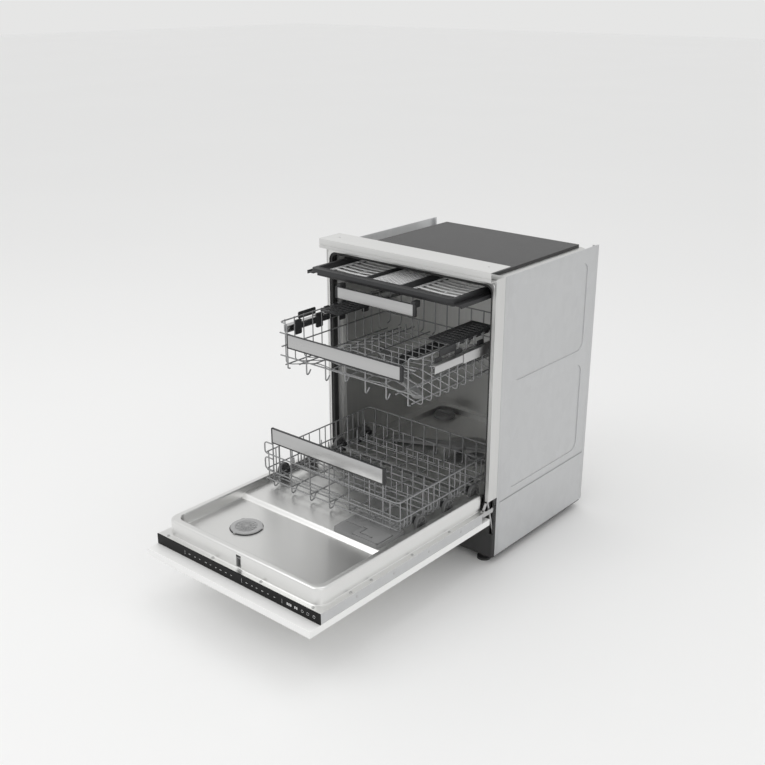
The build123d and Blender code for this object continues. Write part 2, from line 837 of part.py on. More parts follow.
# Inlet and drain spigots on an upright plate at the back of the base
connection_far = base_rear - 1.0
connection_length = 32.0
with BuildPart() as water_connections:
    with BuildSketch(Plane.XZ.offset(-(connection_far - connection_length))):
        with Locations((inlet_x, connection_z)):
            Circle(inlet_radius)
        with Locations((drain_x, connection_z)):
            Circle(drain_radius)
    extrude(amount=-connection_length)
    box_between(
        (
            inlet_x - 26,
            connection_far - connection_length - 3,
            base_low + base_wall + rest_gap,
        ),
        (drain_x + 22, connection_far - connection_length + 1, connection_z + 24),
    )
    for place, radius in ((inlet_x, inlet_radius), (drain_x, drain_radius)):
        with BuildSketch(Plane.XZ.offset(-connection_far)):
            with Locations((place, connection_z)):
                Circle(radius - 3.5)
        extrude(amount=connection_length + 4, mode=Mode.SUBTRACT)
save(water_connections, "water_connections")

# Hinge brackets with the two hinge pins
bracket_in = 291.6
bracket_out = 294.0
with BuildPart() as hinge_brackets:
    for side in (-1, 1):
        with BuildSketch(Plane.YZ.offset(side * (bracket_in + bracket_out) / 2)):
            with Locations((hinge_y, hinge_height)):
                Circle(9.0)
            with Locations((hinge_y + 34, hinge_height - 2)):
                Rectangle(68, 14)
            with Locations((hinge_y + 62, hinge_height - 62)):
                Rectangle(16, 134)
        extrude(amount=(bracket_out - bracket_in) / 2, both=True)
        with BuildSketch(Plane.YZ.offset(side * 288.5)):
            with Locations((hinge_y, hinge_height)):
                Circle(pin_radius)
        extrude(amount=4.5, both=True)
save(hinge_brackets, "hinge_brackets")

# Door springs, hooked to the tails of the hinge arms
spring_radius = 3.2
spring_foot = (hinge_y + 70.0, 52.0)
tail_tip = (
    hinge_y + (tail_radius + 9) * cos(radians(tail_angle)),
    hinge_height + (tail_radius + 9) * sin(radians(tail_angle)),
)
with BuildPart() as door_springs:
    for side in (-1, 1):
        run = Vector(0, spring_foot[0] - tail_tip[0], spring_foot[1] - tail_tip[1])
        start = Vector(side * arm_x, tail_tip[0], tail_tip[1]) + run.normalized() * 3
        with BuildSketch(Plane(origin=start, z_dir=run)):
            Circle(spring_radius)
        extrude(amount=run.length)
save(door_springs, "door_springs")

# The water system and the runners inside the tub

# Feed pipe: flat duct up the back wall with a docking port, then forward under the ceiling
hub_y = sump_y
duct_back = tub_rear - rest_gap
duct_depth = 11.0
dock_z = 569.0
ceiling_duct_low = tub_top - 7.0
top_arm_height = 4.5
with BuildPart() as feed_pipe:
    box_between(
        (-21, duct_back - duct_depth, track + rest_gap), (21, duct_back, tub_top - rest_gap)
    )
    fillet(feed_pipe.edges().filter_by(Axis.Z), 4.0)
    box_between(
        (-16, hub_y - 14, ceiling_duct_low), (16, duct_back - 3, tub_top - rest_gap)
    )
    with BuildSketch(Plane.XZ.offset(-(duct_back - duct_depth + 1))):
        with Locations((0, dock_z)):
            Circle(17.0)
            Circle(12.0, mode=Mode.SUBTRACT)
    extrude(amount=3.0)
    with Locations((0, hub_y, ceiling_duct_low + 1)):
        Cylinder(6.0, 7.0, align=(Align.CENTER, Align.CENTER, Align.MAX))
    with Locations((0, hub_y, ceiling_duct_low - top_arm_height - 2 * rest_gap)):
        Cylinder(10.0, 2.4, align=(Align.CENTER, Align.CENTER, Align.MAX))
save(feed_pipe, "feed_pipe")

# Runners for the upper rack and the cutlery tray, fixed to both tub walls
runner_near = front + 110.0
runner_length = 440.0
rail_z = 651.0
channel_height = 30.0
channel_deep = 16.0
channel_wall = 1.7
nest_gap = 0.5
tray_runner_z = 792.5
tray_runner_height = 14.0


def channel(side, outer_x, height, deep, middle_z, near, length):
    """A folded runner along the depth, its open mouth facing the middle of the tub."""
    inner_x = outer_x - deep
    box_between(
        (min(side * inner_x, side * outer_x), near, middle_z - height / 2),
        (max(side * inner_x, side * outer_x), near + length, middle_z + height / 2),
    )
    cut_x = outer_x - channel_wall
    box_between(
        (
            min(side * (inner_x - 1), side * cut_x),
            near - 1,
            middle_z - height / 2 + channel_wall,
        ),
        (
            max(side * (inner_x - 1), side * cut_x),
            near + length + 1,
            middle_z + height / 2 - channel_wall,
        ),
        mode=Mode.SUBTRACT,
    )


with BuildPart() as tub_runners:
    for side in (-1, 1):
        channel(
            side, tub_half - rest_gap, channel_height, channel_deep, rail_z, runner_near,
            runner_length,
        )
        channel(
            side, tub_half - rest_gap, tray_runner_height, 14.0, tray_runner_z,
            runner_near, runner_length,
        )
save(tub_runners, "tub_runners")

# Middle members of the telescopic runners, drawn out half as far as the rack
member_out = tub_half - rest_gap - channel_wall - nest_gap
member_height = channel_height - 2 * channel_wall - 2 * nest_gap
member_deep = channel_deep - channel_wall - nest_gap
with BuildPart() as upper_slides:
    for side in (-1, 1):
        channel(
            side, member_out, member_height, member_deep, rail_z,
            runner_near - upper_pull / 2, runner_length,
        )
save(upper_slides, "upper_slides")


def spray_arm(middle_y, low, high, reach, turn, width=34.0):
    """A flat arm with rounded ends and a round hub, turned about the upright axis."""
    height = high - low
    with BuildSketch(Plane.XY.offset(low)) as outline:
        with Locations((0, middle_y)):
            SlotOverall(2 * reach, width, rotation=turn)
            Circle(width * 0.82)
    extrude(outline.sketch, amount=height)


# Lower spray arm on the post of the sump
with BuildPart() as lower_spray_arm:
    spray_arm(hub_y, arm_low, arm_low + arm_height, 222.0, 24.0)
    fillet(lower_spray_arm.faces().sort_by(Axis.Z)[-1].edges(), 3.0)
    with Locations((0, hub_y, arm_low - 1)):
        Cylinder(
            neck_radius + running_gap,
            arm_height - 1.5,
            align=(Align.CENTER, Align.CENTER, Align.MIN),
            mode=Mode.SUBTRACT,
        )
    with BuildSketch(Plane.XY.offset(arm_low + arm_height)):
        with Locations((0, hub_y)):
            with PolarLocations(58.0, 2, 24.0):
                Rectangle(9.0, 3.0)
            with PolarLocations(112.0, 2, 30.0):
                Rectangle(3.0, 9.0)
            with PolarLocations(160.0, 2, 20.0):
                Rectangle(9.0, 3.0)
            with PolarLocations(205.0, 2, 24.0):
                Rectangle(3.0, 9.0)
    extrude(amount=-2.0, mode=Mode.SUBTRACT)
save(lower_spray_arm, "lower_spray_arm")

# Small top spray arm under the ceiling duct
with BuildPart() as top_spray_arm:
    top_arm_high = ceiling_duct_low - rest_gap
    top_arm_low = top_arm_high - top_arm_height
    spray_arm(hub_y, top_arm_low, top_arm_high, 92.0, 40.0, 26.0)
    spray_arm(hub_y, top_arm_low, top_arm_high, 92.0, 130.0, 26.0)
    with Locations((0, hub_y, top_arm_low)):
        Cylinder(6.0 + running_gap, 20, mode=Mode.SUBTRACT)
save(top_spray_arm, "top_spray_arm")

# Lower rack
rack_in = front + 103.0  # front of every rack when pushed in
rack_depth = 445.0
lower_front = rack_in - lower_pull
lower_back = lower_front + rack_depth
lower_half = 244.0
sink = wire * (1 - weld_depth)
wall_x = lower_half - sink
deck_z = 236.0
deck_top_z = deck_z + sink
lower_rail_low = 265.0
lower_rail_high = 316.0
front_rail_high = 396.0
axle_z = 233.6
axle_radius = 3.0
wheel_radius = 21.0
wheel_in = 247.0
wheel_out = 257.0
wheel_offsets = [75.0, 194.0, 313.0, 432.0]
deck_offsets = [24, 54, 106, 136, 164, 224, 254, 340, 384, 414]
tine_pitch = 38.0
tine_length = 70.0
fold_offsets = [284.0, 360.0]
pivot_z = deck_top_z + wire / 2 + thin_wire / 2 + 1.4
clip_x = 212.0
tine_spots = [tine_pitch * (i - 5) for i in range(11)]
fixed_offsets = [100.0, 170.0]


def tine_row(y, foot_z, length):
    """A foot wire across the rack with its row of upright tines."""
    wires_along_x([(y, foot_z)], 2 * (clip_x + 3.5), thin_wire)
    wires_along_z([(x, y) for x in tine_spots], foot_z, foot_z + length, thin_wire)


carrier_x = 233.5  # middle of each axle carrier, to the side
with BuildPart() as lower_rack_floor:
    wires_along_x(
        [(lower_front + offset_y, deck_z) for offset_y in deck_offsets],
        2 * (wall_x - wire / 2 - weld_gap),
    )
    long_near = lower_front + wire / 2 + weld_gap
    long_far = lower_back - sink - wire / 2 - weld_gap
    wires_along_y(
        [(x, deck_top_z) for x in (-clip_x, -144, -72, 0, 72, 144, clip_x)], long_near, long_far
    )
    wires_along_y([(x, deck_top_z) for x in (-232, 232)], long_near, long_far)
    # fixed tine rows in the front half, welded to the long wires
    for offset_y in fixed_offsets:
        tine_row(lower_front + offset_y, deck_top_z + (wire + thin_wire) / 2 - 1, tine_length)
    # axle carriers and axle pins, each pin with a head outside its wheel
    for side in (-1, 1):
        for offset_y in wheel_offsets:
            box_between(
                (side * carrier_x - 4, lower_front + offset_y - 9, axle_z - 7),
                (side * carrier_x + 4, lower_front + offset_y + 9, deck_top_z + 2),
            )
            with BuildSketch(Plane.YZ.offset(side * carrier_x)):
                with Locations((lower_front + offset_y, axle_z)):
                    Circle(axle_radius)
            extrude(amount=side * (wheel_out + 0.6 - carrier_x))
            with BuildSketch(Plane.YZ.offset(side * (wheel_out + rest_gap))):
                with Locations((lower_front + offset_y, axle_z)):
                    Circle(axle_radius + 2.5)
            extrude(amount=side * 1.2)
    # clips that hold the folding tine rows
    for offset_y in fold_offsets:
        for x in (-clip_x, clip_x):
            with Locations((x, lower_front + offset_y, pivot_z - 1)):
                Box(8.0, 9.0, 9.0)
            with BuildSketch(Plane.YZ.offset(x - 5)):
                with Locations((lower_front + offset_y, pivot_z)):
                    Circle(thin_wire / 2 + running_gap)
            extrude(amount=10.0, mode=Mode.SUBTRACT)
save(lower_rack_floor, "lower_rack_floor")

# Four walls of the lower rack: rails and bent uprights
side_foot_z = 231.0
raised_half = 196.0
deep_foot = 219.0
with BuildPart() as lower_rack_walls:
    side_rails = [
        (side * lower_half, z) for side in (-1, 1) for z in (lower_rail_low, lower_rail_high)
    ]
    wires_along_y(side_rails, lower_front, lower_back)
    side_spots = [
        lower_front + offset_y
        for offset_y in (8, 36, 50, 100, 124, 148, 172, 216, 240, 264, 288, 340, 364, 388, 410)
    ]
    for side in (-1, 1):
        bent_wires(
            [
                (side * wall_x, 0, lower_rail_high + 3),
                (side * wall_x, 0, side_foot_z),
                (side * (wall_x - 13), 0, side_foot_z),
            ],
            [(0, y, 0) for y in side_spots],
            thin_wire,
        )
    back_spots = [(x, lower_back - sink) for x in spread(-216, 216, 10)]
    wires_along_z(back_spots, deck_z + 3, lower_rail_high + 2)
    back_rails = [(lower_back, z) for z in (lower_rail_low, lower_rail_high)]
    wires_along_x(back_rails, 2 * (lower_half - wire / 2 - weld_gap))
    # front wall, raised in the middle to carry the handle
    front_rails = [(lower_front - sink, z) for z in (deck_top_z, lower_rail_low, lower_rail_high)]
    wires_along_x(front_rails, 2 * (lower_half - wire / 2 - weld_gap))
    wires_along_x([(lower_front - sink, front_rail_high)], 2 * raised_half)
    for group, high, low in (
        ((-214,), lower_rail_high + 3, deep_foot),
        ((214,), lower_rail_high + 3, side_foot_z),
        ((-144, -72, 0), front_rail_high + 2, deep_foot),
        ((72, 144), front_rail_high + 2, side_foot_z),
    ):
        bent_wires(
            [(0, lower_front, high), (0, lower_front, low), (0, lower_front + 14, low)],
            [(x, 0, 0) for x in group],
        )
    wires_along_z(
        [(x, lower_front) for x in (6 - raised_half, raised_half - 6)],
        lower_rail_low - 1,
        front_rail_high + 2,
    )
save(lower_rack_walls, "lower_rack_walls")


def bar_handle(middle, length, low, high, face_y, deep):
    """The bar of a handle, still with sharp edges, in front of the rack or tray it moves."""
    box_between(
        (middle - length / 2, face_y, low), (middle + length / 2, face_y + deep, high)
    )


# Handle bars of the two racks and the tray, hollow at the back
lower_bar_low = 359.0
lower_bar_high = 404.0
bar_deep = 8.0
lower_bar_y = lower_front - sink - wire / 2 - rest_gap - bar_deep
with BuildPart() as lower_handle:
    bar_handle(0, 410.0, lower_bar_low, lower_bar_high, lower_bar_y, bar_deep)
    fillet(lower_handle.edges().filter_by(Axis.Z), 2.0)
    chamfer(lower_handle.edges().filter_by(Axis.X), 1.0)
    with Locations((0, lower_bar_y + bar_deep - 1, (lower_bar_low + lower_bar_high) / 2)):
        Box(396.0, 5.0, lower_bar_high - lower_bar_low - 10, mode=Mode.SUBTRACT)
    for x in (-196, 196):
        box_between(
            (x - 4, lower_bar_y + bar_deep - 5, lower_bar_low + 3),
            (x + 4, lower_bar_y + bar_deep, lower_bar_high - 3),
        )
save(lower_handle, "lower_handle")

# Two folding tine rows in the rear half
with BuildPart() as lower_tines_middle:
    tine_row(lower_front + fold_offsets[0], pivot_z, tine_length)
save(lower_tines_middle, "lower_tines_middle")

with BuildPart() as lower_tines_rear:
    tine_row(lower_front + fold_offsets[1], pivot_z, tine_length)
save(lower_tines_rear, "lower_tines_rear")

# Four pairs of wheels
for number, offset_y in enumerate(wheel_offsets, start=1):
    with BuildPart() as wheel_pair:
        for side in (-1, 1):
            with BuildSketch(Plane.YZ.offset(side * wheel_in)):
                with Locations((lower_front + offset_y, axle_z)):
                    Circle(wheel_radius)
                    Circle(axle_radius + running_gap, mode=Mode.SUBTRACT)
            extrude(amount=side * (wheel_out - wheel_in))
            with BuildSketch(Plane.YZ.offset(side * wheel_out)):
                with Locations((lower_front + offset_y, axle_z)):
                    Circle(wheel_radius - 4)
                    Circle(axle_radius + 5, mode=Mode.SUBTRACT)
                    with PolarLocations((wheel_radius + axle_radius + 1) / 2, 5):
                        Rectangle(wheel_radius - 8, 3.0, mode=Mode.SUBTRACT)
            extrude(amount=side * -2.5, mode=Mode.SUBTRACT)
    save(wheel_pair, f"lower_wheels_{number}")


# Upper rack
upper_front = rack_in - upper_pull
upper_back = upper_front + rack_depth
upper_rail_low = 612.0
upper_rail_high = 684.0
upper_front_rail = 655.0
upper_spots = spread(upper_front + 22, upper_back - 22, 12)
upper_wall_x = 243.0
upper_rail_x = upper_wall_x - sink
floor_shape = [(225.0, 560.0), (120.0, 585.0), (0.0, 578.0)]
floor_edge = (upper_wall_x - thin_wire / 2 - weld_gap, 566.0)
long_wires = [(225.0, 560.0), (172.0, 572.6), (120.0, 585.0), (0.0, 578.0)]
upper_tine_x = 60.0
upper_tine_foot = 581.5 + (wire + thin_wire) / 2
upper_tine_length = 51.0
with BuildPart() as upper_rack_floor:
    left_half = [floor_edge] + floor_shape
    across = [(-x, 0, z) for x, z in left_half] + [(x, 0, z) for x, z in left_half[-2::-1]]
    bent_wires(across, [(0, y, 0) for y in upper_spots], thin_wire)
    near = upper_front + wire / 2 + weld_gap
    far = upper_back - sink - wire / 2 - weld_gap
    spots = [(side * x, z + 2.7) for x, z in long_wires for side in (-1, 1) if x or side > 0]
    wires_along_y(spots, near, far)
save(upper_rack_floor, "upper_rack_floor")

# Two rows of fixed tines, each on a foot wire of its own that lies on the floor wires
with BuildPart() as upper_tines:
    for side in (-1, 1):
        wires_along_y([(side * upper_tine_x, upper_tine_foot)], near, far)
        tine_line = [
            (side * upper_tine_x, y) for y in spread(upper_front + 60, upper_back - 60, 12)
        ]
        wires_along_z(tine_line, upper_tine_foot, upper_tine_foot + upper_tine_length, thin_wire)
save(upper_tines, "upper_tines")

with BuildPart() as upper_rack_walls:
    rails = [(side * upper_rail_x, z) for side in (-1, 1) for z in (upper_rail_low, upper_rail_high)]
    wires_along_y(rails, upper_front, upper_back)
    for side in (-1, 1):
        bent_wires(
            [
                (side * upper_wall_x, 0, upper_rail_high + 3),
                (side * upper_wall_x, 0, 556.0),
                (side * (upper_wall_x - 9), 0, 553.0),
            ],
            [(0, y, 0) for y in upper_spots],
            thin_wire,
        )
    cross_half = upper_rail_x - wire / 2 - weld_gap
    wires_along_x([(upper_back, z) for z in (upper_rail_low, upper_rail_high)], 2 * cross_half)
    wires_along_z([(x, upper_back - sink) for x in spread(-216, 216, 11)], 590, 687)
    front_rails = [(upper_front - sink, z) for z in (upper_rail_low - 22, upper_front_rail)]
    wires_along_x(front_rails, 2 * cross_half)
    for group, high, low in (
        ((-214, 214), upper_rail_high, 553.0),
        ((-142, -71, 71, 142), upper_front_rail + 3, 553.0),
        ((0,), upper_front_rail + 3, 567.0),
    ):
        bent_wires(
            [(0, upper_front, high), (0, upper_front, low), (0, upper_front + 7, low)],
            [(x, 0, 0) for x in group],
        )
    # top front corners, bent wire from the side rail to the outer uprights
    for x in (-214, 214):
        wires_along_x([(upper_front + sink, upper_rail_high - 3)], 40.0, wire, x)
save(upper_rack_walls, "upper_rack_walls")

# Runners of the rack itself, with their plastic carriers
bar_out = member_out - channel_wall - nest_gap
bar_height = member_height - 2 * channel_wall - 2 * nest_gap
carrier_in = upper_wall_x + thin_wire / 2 + rest_gap
carrier_out = 250.0
carrier_low = 625.0
carrier_high = 672.0
with BuildPart() as upper_carriers:
    for side in (-1, 1):
        channel(
            side, bar_out, bar_height, bar_out - carrier_out + 1, rail_z, upper_front + 6,
            runner_length,
        )
        box_between(
            (side * (carrier_in + carrier_out) / 2 - (carrier_out - carrier_in) / 2,
             upper_front + 60, carrier_low),
            (side * (carrier_in + carrier_out) / 2 + (carrier_out - carrier_in) / 2,
             upper_front + 385, carrier_high),
        )
save(upper_carriers, "upper_carriers")

# Levers that set the height of the rack
lever_in = 247.9
lever_out = 250.4
lever_length = 70.0
lever_top = 692.0
lever_round = 1.2
for label, side in (("left", -1), ("right", 1)):
    with BuildPart() as height_lever:
        with BuildSketch(Plane.YZ.offset(side * lever_in)):
            with Locations((upper_front + 115, (carrier_high + rest_gap + lever_top) / 2)):
                RectangleRounded(lever_length, lever_top - carrier_high - rest_gap, 4.0)
        extrude(amount=side * (lever_out - lever_in))
        # rounded foot on the pivot axis
        foot = height_lever.edges().filter_by(Axis.Y).group_by(Axis.Z)[0]
        fillet(foot, lever_round)
    save(height_lever, f"height_lever_{label}")

# Water duct under the upper rack, with the hub of the middle spray arm
middle_arm_low = 531.0
middle_arm_high = 541.0
duct_low = 562.5
duct_high = 575.8
with BuildPart() as rack_feed:
    rack_hub_y = upper_front + hub_y - rack_in
    box_between((-15, rack_hub_y, duct_low), (15, upper_back + 1.5, duct_high))
    fillet(rack_feed.edges().filter_by(Axis.Y), 4.0)
    for radius, low, high in (
        (15.0, duct_low, duct_high),
        (12.0, middle_arm_high + rest_gap, duct_low + 1),
        (7.0, middle_arm_low - 2, middle_arm_high + 2),
        (12.0, middle_arm_low - 4, middle_arm_low - rest_gap),
    ):
        with BuildSketch(Plane.XY.offset(low)):
            with Locations((0, rack_hub_y)):
                Circle(radius)
        extrude(amount=high - low)
save(rack_feed, "rack_feed")

with BuildPart() as middle_spray_arm:
    spray_arm(rack_hub_y, middle_arm_low, middle_arm_high, 205.0, -35.0, 30.0)
    fillet(middle_spray_arm.faces().sort_by(Axis.Z)[-1].edges(), 3.0)
    with Locations((0, rack_hub_y, middle_arm_low)):
        Cylinder(7.0 + running_gap, 40, mode=Mode.SUBTRACT)
    with BuildSketch(Plane.XY.offset(middle_arm_high)):
        with Locations((0, rack_hub_y)):
            with PolarLocations(60.0, 2, -35.0):
                Rectangle(8.0, 3.0)
            with PolarLocations(120.0, 2, -35.0):
                Rectangle(3.0, 8.0)
            with PolarLocations(180.0, 2, -35.0):
                Rectangle(8.0, 3.0)
    extrude(amount=-2.0, mode=Mode.SUBTRACT)
save(middle_spray_arm, "middle_spray_arm")

# Handle bar of the upper rack
upper_bar_low = 619.0
upper_bar_high = 659.0
upper_bar_y = upper_front - sink - wire / 2 - rest_gap - bar_deep
with BuildPart() as upper_handle:
    bar_handle(0, 406.0, upper_bar_low, upper_bar_high, upper_bar_y, bar_deep)
    fillet(upper_handle.edges().filter_by(Axis.Z), 2.0)
    chamfer(upper_handle.edges().filter_by(Axis.X), 1.0)
    with Locations((0, upper_bar_y + bar_deep - 1, (upper_bar_low + upper_bar_high) / 2)):
        Box(392.0, 5.0, upper_bar_high - upper_bar_low - 10, mode=Mode.SUBTRACT)
save(upper_handle, "upper_handle")

# Two folding cup shelves, hung on the side rails of the upper rack
shelf_reach = 85.0
shelf_thick = 3.0
shelf_near = upper_front + 150.0
shelf_length = 200.0
barrel_radius = 4.4
for label, side in (("left", -1), ("right", 1)):
    with BuildPart() as cup_shelf:
        with BuildSketch(Plane.XY.offset(upper_rail_high - shelf_thick / 2)):
            with Locations((side * (upper_rail_x - shelf_reach / 2 - 3), shelf_near + shelf_length / 2)):
                RectangleRounded(shelf_reach - 6, shelf_length, 8)
                with GridLocations(1, 18.0, 1, 10):
                    SlotOverall(shelf_reach - 24, 8.0, mode=Mode.SUBTRACT)
        extrude(amount=shelf_thick)
        middles = [
            (a + b) / 2
            for a, b in zip(upper_spots, upper_spots[1:])
            if shelf_near + 12 < (a + b) / 2 < shelf_near + shelf_length - 12
        ]
        for y in middles:
            with BuildSketch(Plane.XZ.offset(-(y + 8))):
                with Locations((side * upper_rail_x, upper_rail_high)):
                    Circle(barrel_radius)
                with Locations((side * (upper_rail_x - 5), upper_rail_high)):
                    Rectangle(9.0, shelf_thick)
            extrude(amount=16.0)
            with BuildSketch(Plane.XZ.offset(-(y + 9))):
                with Locations((side * upper_rail_x, upper_rail_high)):
                    Circle(wire / 2 + running_gap)
            extrude(amount=18.0, mode=Mode.SUBTRACT)
    save(cup_shelf, f"cup_shelf_{label}")

# Cutlery tray
tray_front = rack_in - tray_pull
tray_half = 247.0
tray_depth = 438.0
tray_low = 786.0
tray_high = 810.0
tray_rim = 9.0
tray_floor = 3.0
divider_x = 62.0
divider = 6.0
tongue_out = tub_half - rest_gap - channel_wall - nest_gap
tongue_half = (tray_runner_height - 2 * channel_wall - 2 * nest_gap) / 2
with BuildPart() as tray_frame:
    tray_middle = tray_front + tray_depth / 2
    with BuildSketch(Plane.XY.offset(tray_low)):
        with Locations((0, tray_middle)):
            RectangleRounded(2 * tray_half, tray_depth, 14)
    extrude(amount=tray_high - tray_low)
    with BuildSketch(Plane.XY.offset(tray_low + tray_floor)):
        with Locations((0, tray_middle)):
            RectangleRounded(2 * (tray_half - tray_rim), tray_depth - 2 * tray_rim, 8)
    extrude(amount=tray_high, mode=Mode.SUBTRACT)
    chamfer(tray_frame.faces().sort_by(Axis.Z)[-1].edges(), 2.0)
    # openings under the two inserts, each with a ledge round it
    for x in (-1, 1):
        box_between(
            (x * 149.0 - 82, tray_front + 15, tray_low - 1),
            (x * 149.0 + 82, tray_front + tray_depth - 15, tray_low + tray_floor + 1),
            mode=Mode.SUBTRACT,
        )
        box_between(
            (x * divider_x - divider / 2, tray_front + tray_rim - 1, tray_low),
            (x * divider_x + divider / 2, tray_front + tray_depth - tray_rim + 1, tray_high - 6),
        )
    # raised grid in the middle
    box_between(
        (-divider_x, tray_front + tray_rim - 1, tray_high - 12),
        (divider_x, tray_front + tray_depth - tray_rim + 1, tray_high - 9),
    )
    with BuildSketch(Plane.XY.offset(tray_low - 1)):
        with Locations((0, tray_middle)):
            with GridLocations(22.0, 22.0, 5, 18):
                Rectangle(16.0, 16.0)
    extrude(amount=tray_high - tray_low, mode=Mode.SUBTRACT)
    # runner tongues down both sides
    for side in (-1, 1):
        web = sorted((side * (tray_half - 1), side * (tongue_out - 3)))
        lip = sorted((side * (tongue_out - 3.5), side * tongue_out))
        box_between(
            (web[0], tray_front + 10, tray_runner_z - 1.5),
            (web[1], tray_front + tray_depth - 10, tray_runner_z + 1.5),
        )
        box_between(
            (lip[0], tray_front + 10, tray_runner_z - tongue_half),
            (lip[1], tray_front + tray_depth - 10, tray_runner_z + tongue_half),
        )
save(tray_frame, "tray_frame")

insert_near = tray_front + tray_rim + rest_gap
insert_far = tray_front + tray_depth - tray_rim - rest_gap
insert_in = divider_x + divider / 2 + rest_gap
insert_out = tray_half - tray_rim - rest_gap
insert_low = tray_low + tray_floor + rest_gap
with BuildPart() as tray_inserts:
    with BuildSketch(Plane.XY.offset(insert_low)):
        for side in (-1, 1):
            middle = (side * (insert_in + insert_out) / 2, (insert_near + insert_far) / 2)
            with Locations(middle):
                RectangleRounded(insert_out - insert_in, insert_far - insert_near, 9.0)
                with GridLocations(1, 16.0, 1, 25):
                    Rectangle(insert_out - insert_in - 10, 12.5, mode=Mode.SUBTRACT)
    extrude(amount=6.0)
save(tray_inserts, "tray_inserts")

tray_bar_low = 746.0
tray_bar_high = 778.0
tray_bar_y = tray_front - 14.0
with BuildPart() as tray_handle:
    bar_handle(0, 278.0, tray_bar_low, tray_bar_high, tray_bar_y, bar_deep)
    fillet(tray_handle.edges().filter_by(Axis.Z), 2.0)
    chamfer(tray_handle.edges().filter_by(Axis.X), 1.0)
    for x in (-130, 130):
        box_between(
            (x - 5, tray_bar_y + bar_deep - 1, tray_bar_high - 14),
            (x + 5, tray_front + 12, tray_bar_high - 4),
        )
        box_between(
            (x - 5, tray_front + 2, tray_bar_high - 8),
            (x + 5, tray_front + 12, tray_low - rest_gap),
        )
save(tray_handle, "tray_handle")
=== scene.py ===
"""Looks of an integrated dishwasher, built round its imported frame.

Numbers are millimetres in the frame's axes unless a name says otherwise, and the modelling
functions turn them into metres.
"""

from math import cos, pi, radians, sin

import bpy
from bpy.props import FloatProperty, FloatVectorProperty, IntProperty, PointerProperty
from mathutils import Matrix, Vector


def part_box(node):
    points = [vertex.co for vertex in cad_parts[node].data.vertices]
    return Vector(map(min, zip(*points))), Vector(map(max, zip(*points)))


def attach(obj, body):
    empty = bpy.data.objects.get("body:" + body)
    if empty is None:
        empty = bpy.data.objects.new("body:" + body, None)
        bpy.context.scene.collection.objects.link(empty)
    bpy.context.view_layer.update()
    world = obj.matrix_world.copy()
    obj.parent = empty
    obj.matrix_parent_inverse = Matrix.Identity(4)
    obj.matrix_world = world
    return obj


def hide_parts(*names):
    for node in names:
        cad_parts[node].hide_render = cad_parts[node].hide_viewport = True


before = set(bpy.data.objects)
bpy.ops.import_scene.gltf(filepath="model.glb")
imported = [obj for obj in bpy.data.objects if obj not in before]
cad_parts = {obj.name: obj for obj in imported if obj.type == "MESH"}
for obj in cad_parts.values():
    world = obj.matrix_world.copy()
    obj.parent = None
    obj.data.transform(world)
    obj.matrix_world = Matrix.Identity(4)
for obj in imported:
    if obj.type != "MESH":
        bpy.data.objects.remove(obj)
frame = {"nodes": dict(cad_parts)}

bl_info = {
    "name": "Integrated Dishwasher",
    "version": (1, 0, 0),
    "blender": (4, 5, 0),
    "location": "3D Viewport > Sidebar > Dishwasher",
    "description": "Dresses the packed frame of an integrated dishwasher",
    "category": "Add Mesh",
}

MM = 0.001
HINGE_HEIGHT = 178.0
PAN_LEVEL = 200.0  # top of the pan's floor in the open door
VENT = (-121.0, -419.25)  # middle of the vent, across and along the open door
LATCH = -250.0  # Y place of the latch groove across the dispenser
RACK_DEPTH = 445.0
LAID = {"X": (0, pi / 2, 0), "Y": (pi / 2, 0, 0), "Z": (0, 0, 0)}  # turns that lay Z on an axis


def corners(node):
    """Lowest and highest corner of a frame node, in millimetres."""
    low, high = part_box(node)
    return low / MM, high / MM


# Modelling


def rest():
    """Leaves edit mode and selects nothing."""
    active = bpy.context.view_layer.objects.active
    if active and active.mode != "OBJECT":
        shut()
    bpy.ops.object.select_all(action="DESELECT")


def shut():
    """Leaves edit mode."""
    bpy.ops.object.mode_set(mode="OBJECT")


def take(piece):
    """Selects this piece alone and makes it the active one."""
    rest()
    piece.select_set(True)
    bpy.context.view_layer.objects.active = piece
    return piece


def edit(piece, kind="VERT", action="SELECT"):
    """Opens the piece with all of its points, edges or faces selected, or none."""
    take(piece)
    bpy.ops.object.mode_set(mode="EDIT")
    bpy.ops.mesh.select_mode(type=kind)
    bpy.ops.mesh.select_all(action=action)


def settle(piece):
    """Puts the piece's place, turn and scale into its mesh."""
    take(piece)
    bpy.ops.object.transform_apply(location=True, rotation=True, scale=True)
    return piece


def block(low, high):
    """A box between two corners."""
    low, high = Vector(low) * MM, Vector(high) * MM
    rest()
    bpy.ops.mesh.primitive_cube_add(size=1, location=(low + high) / 2)
    piece = bpy.context.object
    piece.scale = high - low
    return settle(piece)


def disc(centre, radius, height, along="Z", sides=40, top=None):
    """A drum or a cone along one axis, centred on a point."""
    rest()
    bpy.ops.mesh.primitive_cone_add(
        vertices=sides, radius1=radius * MM, radius2=(radius if top is None else top) * MM,
        depth=height * MM, location=Vector(centre) * MM, rotation=LAID[along],
    )
    return settle(bpy.context.object)


def hoop(centre, radius, thick, along="Z", sides=48):
    """A round ring of round section."""
    rest()
    bpy.ops.mesh.primitive_torus_add(
        major_segments=sides, minor_segments=10, major_radius=radius * MM,
        minor_radius=thick / 2 * MM, location=Vector(centre) * MM, rotation=LAID[along],
    )
    return settle(bpy.context.object)


